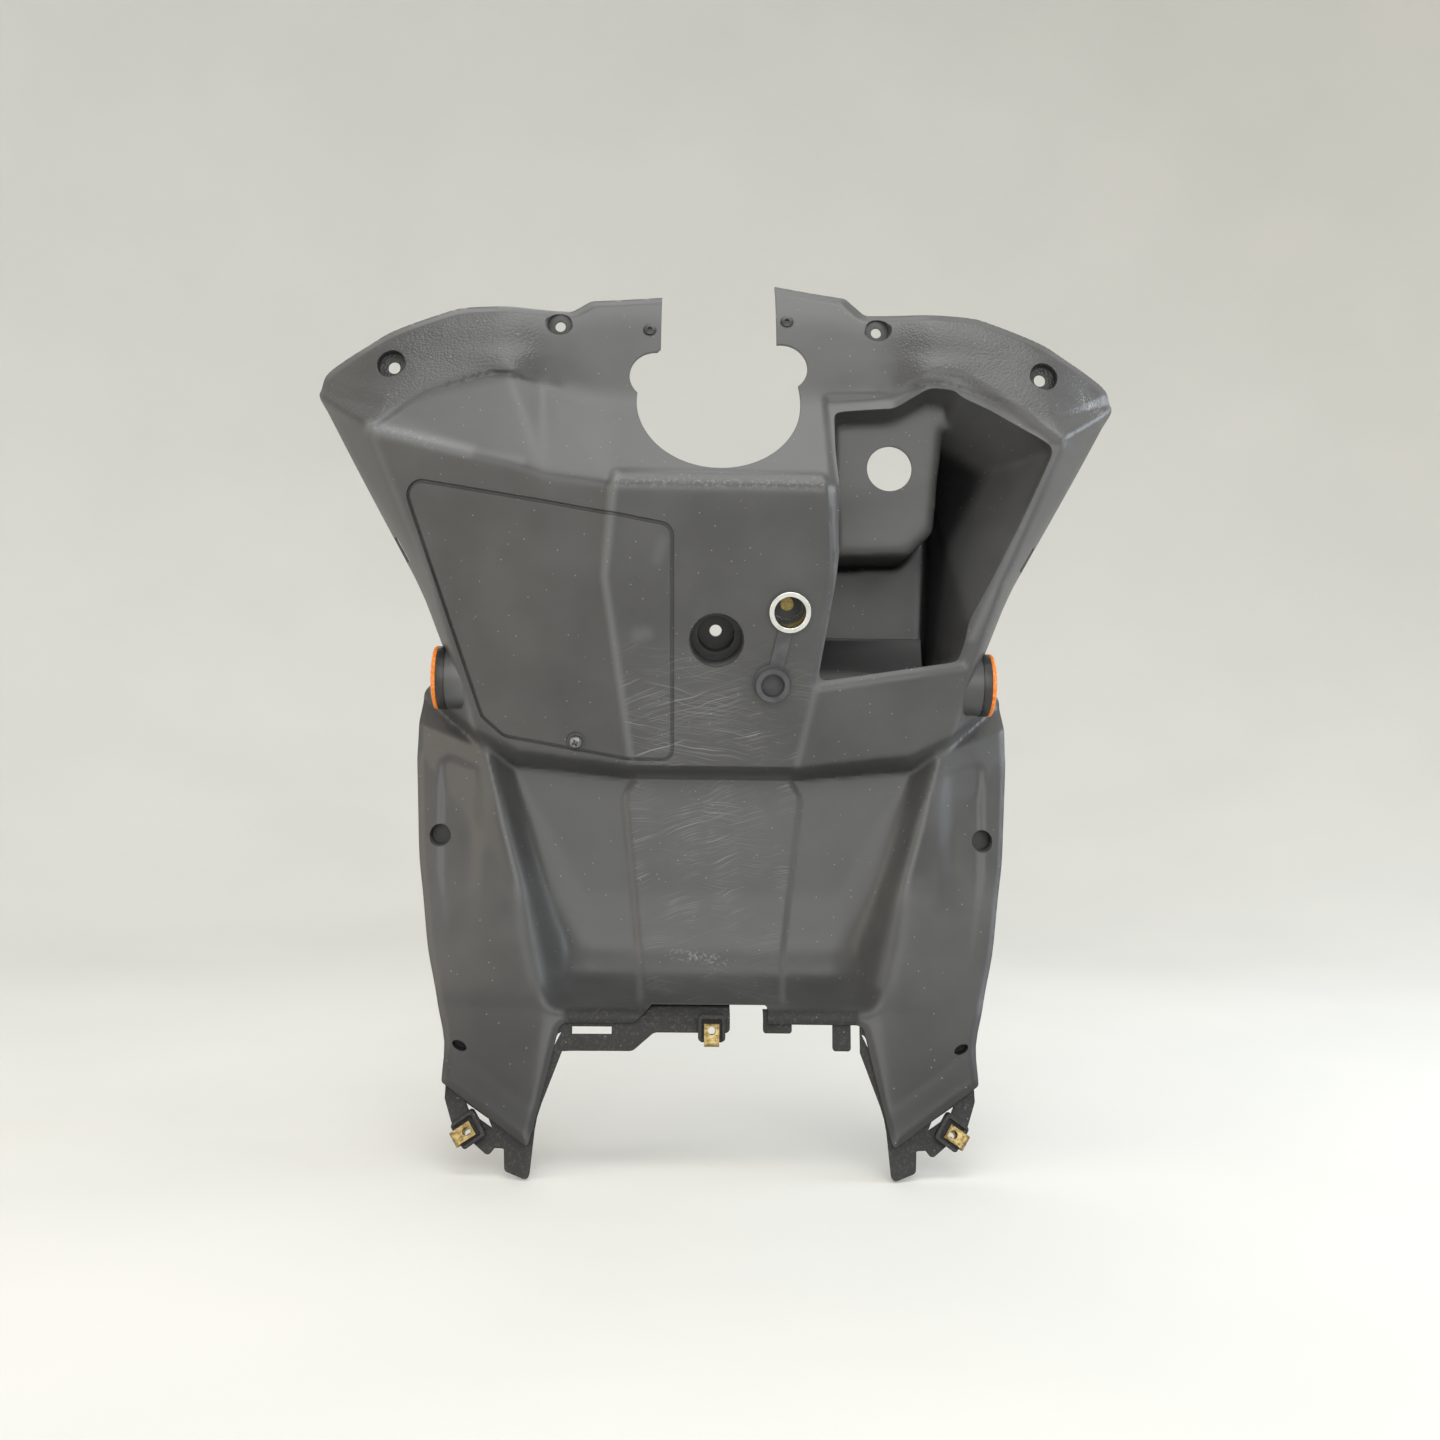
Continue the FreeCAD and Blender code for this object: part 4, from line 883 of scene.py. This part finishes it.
def finish(name, pale, dark, patch, rough_range, bump_depth=0.0, **sockets):
    """Material whose colour and gloss drift between two values over patches of a size in millimetres."""
    made, tree, shader = material(name, **sockets)
    spot = node(tree, "ShaderNodeTexCoord").outputs["Object"]
    drift = node(tree, "ShaderNodeTexNoise", {"Vector": spot, "Scale": 1 / (patch * MM), "Detail": 4.0})
    tint = node(tree, "ShaderNodeValToRGB", {"Fac": drift})
    for stop, (position, colour) in zip(tint.color_ramp.elements, ((0.35, dark), (0.65, pale))):
        stop.position = position
        stop.color = srgb(colour)
    tree.links.new(tint.outputs["Color"], shader.inputs["Base Color"])
    gloss = node(tree, "ShaderNodeMapRange", {
        "Value": drift, "From Min": 0.3, "From Max": 0.7, "To Min": rough_range[0], "To Max": rough_range[1]})
    tree.links.new(gloss.outputs["Result"], shader.inputs["Roughness"])
    if bump_depth:
        lift = node(tree, "ShaderNodeBump", {"Height": drift, "Strength": 0.5, "Distance": bump_depth * MM})
        tree.links.new(lift.outputs["Normal"], shader.inputs["Normal"])
    return made


FINISHES = {
    # Moulded ABS, black with a satin skin
    "black_plastic": finish("moulded_abs", "#262627", "#19191a", 1.5, (0.34, 0.46), 0.06, IOR=1.53),
    # Moulded EPDM rubber, greyish black and matt, with a pale bloom
    "cap_rubber": finish("moulded_epdm_rubber", "#4a4b4d", "#3a3b3d", 9.0, (0.5, 0.66), 0.05, IOR=1.48),
    # Bright nickel plate over pressed brass, faintly hazed
    "plated_shell": finish("nickel_plate", "#dcdcd8", "#c3c3bf", 6.0, (0.16, 0.3), Metallic=1.0),
    # Turned brass gone dull
    "contact_brass": finish("turned_brass", "#9c8a5c", "#74643c", 2.5, (0.3, 0.45), Metallic=1.0),
    # Zinc plate with a yellow passivate that drifts towards brown
    "zinc_steel": finish(
        "yellow_passivated_zinc", "#b8a472", "#7a6743", 2.2, (0.28, 0.48), 0.05, Metallic=1.0),
    # Zinc plate left grey, gone dull
    "grey_zinc": finish("bright_zinc", "#8f908e", "#646563", 1.2, (0.36, 0.5), 0.04, Metallic=1.0),
    # Moulded acrylic, clear amber over prisms
    "amber_lens": finish(
        "amber_acrylic", "#ff9a1c", "#e2700c", 1.6, (0.1, 0.2), 0.15, IOR=1.49, Transmission_Weight=0.25),
}
SURFACES = {
    "socket_shell": "plated_shell", "socket_insulator": "black_plastic",
    "socket_centre_contact": "contact_brass", "socket_ring_nut": "black_plastic",
    "socket_cap": "cap_rubber", "reflector_housing_left": "black_plastic",
    "reflector_housing_right": "black_plastic", "pan_head_screw": "grey_zinc",
    "spring_clip_nuts": "zinc_steel", "arm_rivet_left": "black_plastic", "arm_rivet_right": "black_plastic",
    "ribbed_lens_left": "amber_lens", "ribbed_lens_right": "amber_lens"}
for name, surface in SURFACES.items():
    given(nodes[name] if name in nodes else bpy.data.objects[name], FINISHES[surface])

# Pale round floor whose edge sweeps up, the same from every side
floor_level = cad_box[0][2]
FLOOR_RADIUS = 1.2
SWEEP = 1.3
RINGS = 16
SPOKES = 96
WALL_TOP = 2.6
rings = [(0.001, floor_level)]
for k in range(RINGS + 1):
    turn = math.pi / 2 * k / RINGS
    rings.append((FLOOR_RADIUS + SWEEP * math.sin(turn), floor_level + SWEEP * (1 - math.cos(turn))))


def round_stage(name, rings):
    """Surface turned about Z through rings of (radius, height)."""
    points = []
    for radius, height in rings:
        for j in range(SPOKES):
            angle = 2 * math.pi * j / SPOKES
            points.append((radius * math.cos(angle), radius * math.sin(angle), height))
    faces = []
    for k in range(len(rings) - 1):
        for j in range(SPOKES):
            here, after = k * SPOKES + j, k * SPOKES + (j + 1) % SPOKES
            faces.append([here, here + SPOKES, after + SPOKES, after])
    mesh = bpy.data.meshes.new(name)
    mesh.from_pydata(points, [], faces)
    mesh.shade_smooth()
    made = bpy.data.objects.new(name, mesh)
    bpy.context.scene.collection.objects.link(made)
    return made


stage = round_stage("studio_sweep", rings)
# The wall above the sweep closes the view and lets the room's light through
upper_wall = round_stage("upper_wall", [rings[-1], (rings[-1][0], WALL_TOP)])
upper_wall.visible_diffuse = False
upper_wall.visible_glossy = False
upper_wall.visible_transmission = False
upper_wall.visible_shadow = False
# Matt emulsion paint, pale warm grey, a little uneven
wall_paint = finish("matt_wall_paint", "#d5d4d0", "#d1d1cd", 300, (0.7, 0.8))
given(stage, wall_paint)
given(upper_wall, wall_paint)


def lamp(name, place, aim, width, power, colour="#ffffff"):
    """Square area light of a width in metres and a power in watts."""
    light = bpy.data.lights.new(name, "AREA")
    light.size = width
    light.energy = power
    light.color = srgb(colour)[:3]
    thing = bpy.data.objects.new(name, light)
    thing.location = place
    thing.rotation_euler = (Vector(aim) - Vector(place)).to_track_quat("-Z", "Y").to_euler()
    thing.visible_camera = False
    bpy.context.scene.collection.objects.link(thing)


lamp("overhead_softbox", (0.12, -0.2, 1.4), (0, 0, 0), 1.1, 11)
lamp("front_softbox", (0.15, -1.8, 0.4), (0, 0, 0), 1.8, 28)
lamp("left_window", (-1.5, -0.7, 0.35), (0, 0, -0.05), 1.0, 7, "#fff0dc")
lamp("right_window", (1.6, 0.1, 0.5), (0.1, 0, 0), 1.0, 17, "#ebf2ff")
lamp("back_softbox", (-0.3, 1.5, 1.5), (0, 0, 0), 1.2, 5)
world = bpy.data.worlds.new("room")
world.use_nodes = True
world.node_tree.nodes["Background"].inputs["Color"].default_value = srgb("#d8d8d2")
world.node_tree.nodes["Background"].inputs["Strength"].default_value = 1.0
bpy.context.scene.world = world
bpy.context.scene.view_settings.view_transform = "Standard"

# Camera at the photograph's place: 37.5 mm lens a metre away, turned and rolled a little
CAMERA_PLACE = (-23.1, -1001.7, -79.5)
CAMERA_TURNS = ((-1.49, "Z"), (1.51, "X"), (-0.76, "Y"), (90, "X"))
camera = bpy.data.cameras.new("camera")
camera.lens = 37.5
camera.sensor_width = 36
view = bpy.data.objects.new("camera", camera)
stand = Matrix.Translation(Vector(CAMERA_PLACE) * MM)
for degrees, axis in CAMERA_TURNS:
    stand = stand @ Matrix.Rotation(math.radians(degrees), 4, axis)
view.matrix_world = stand
bpy.context.scene.collection.objects.link(view)
bpy.context.scene.camera = view
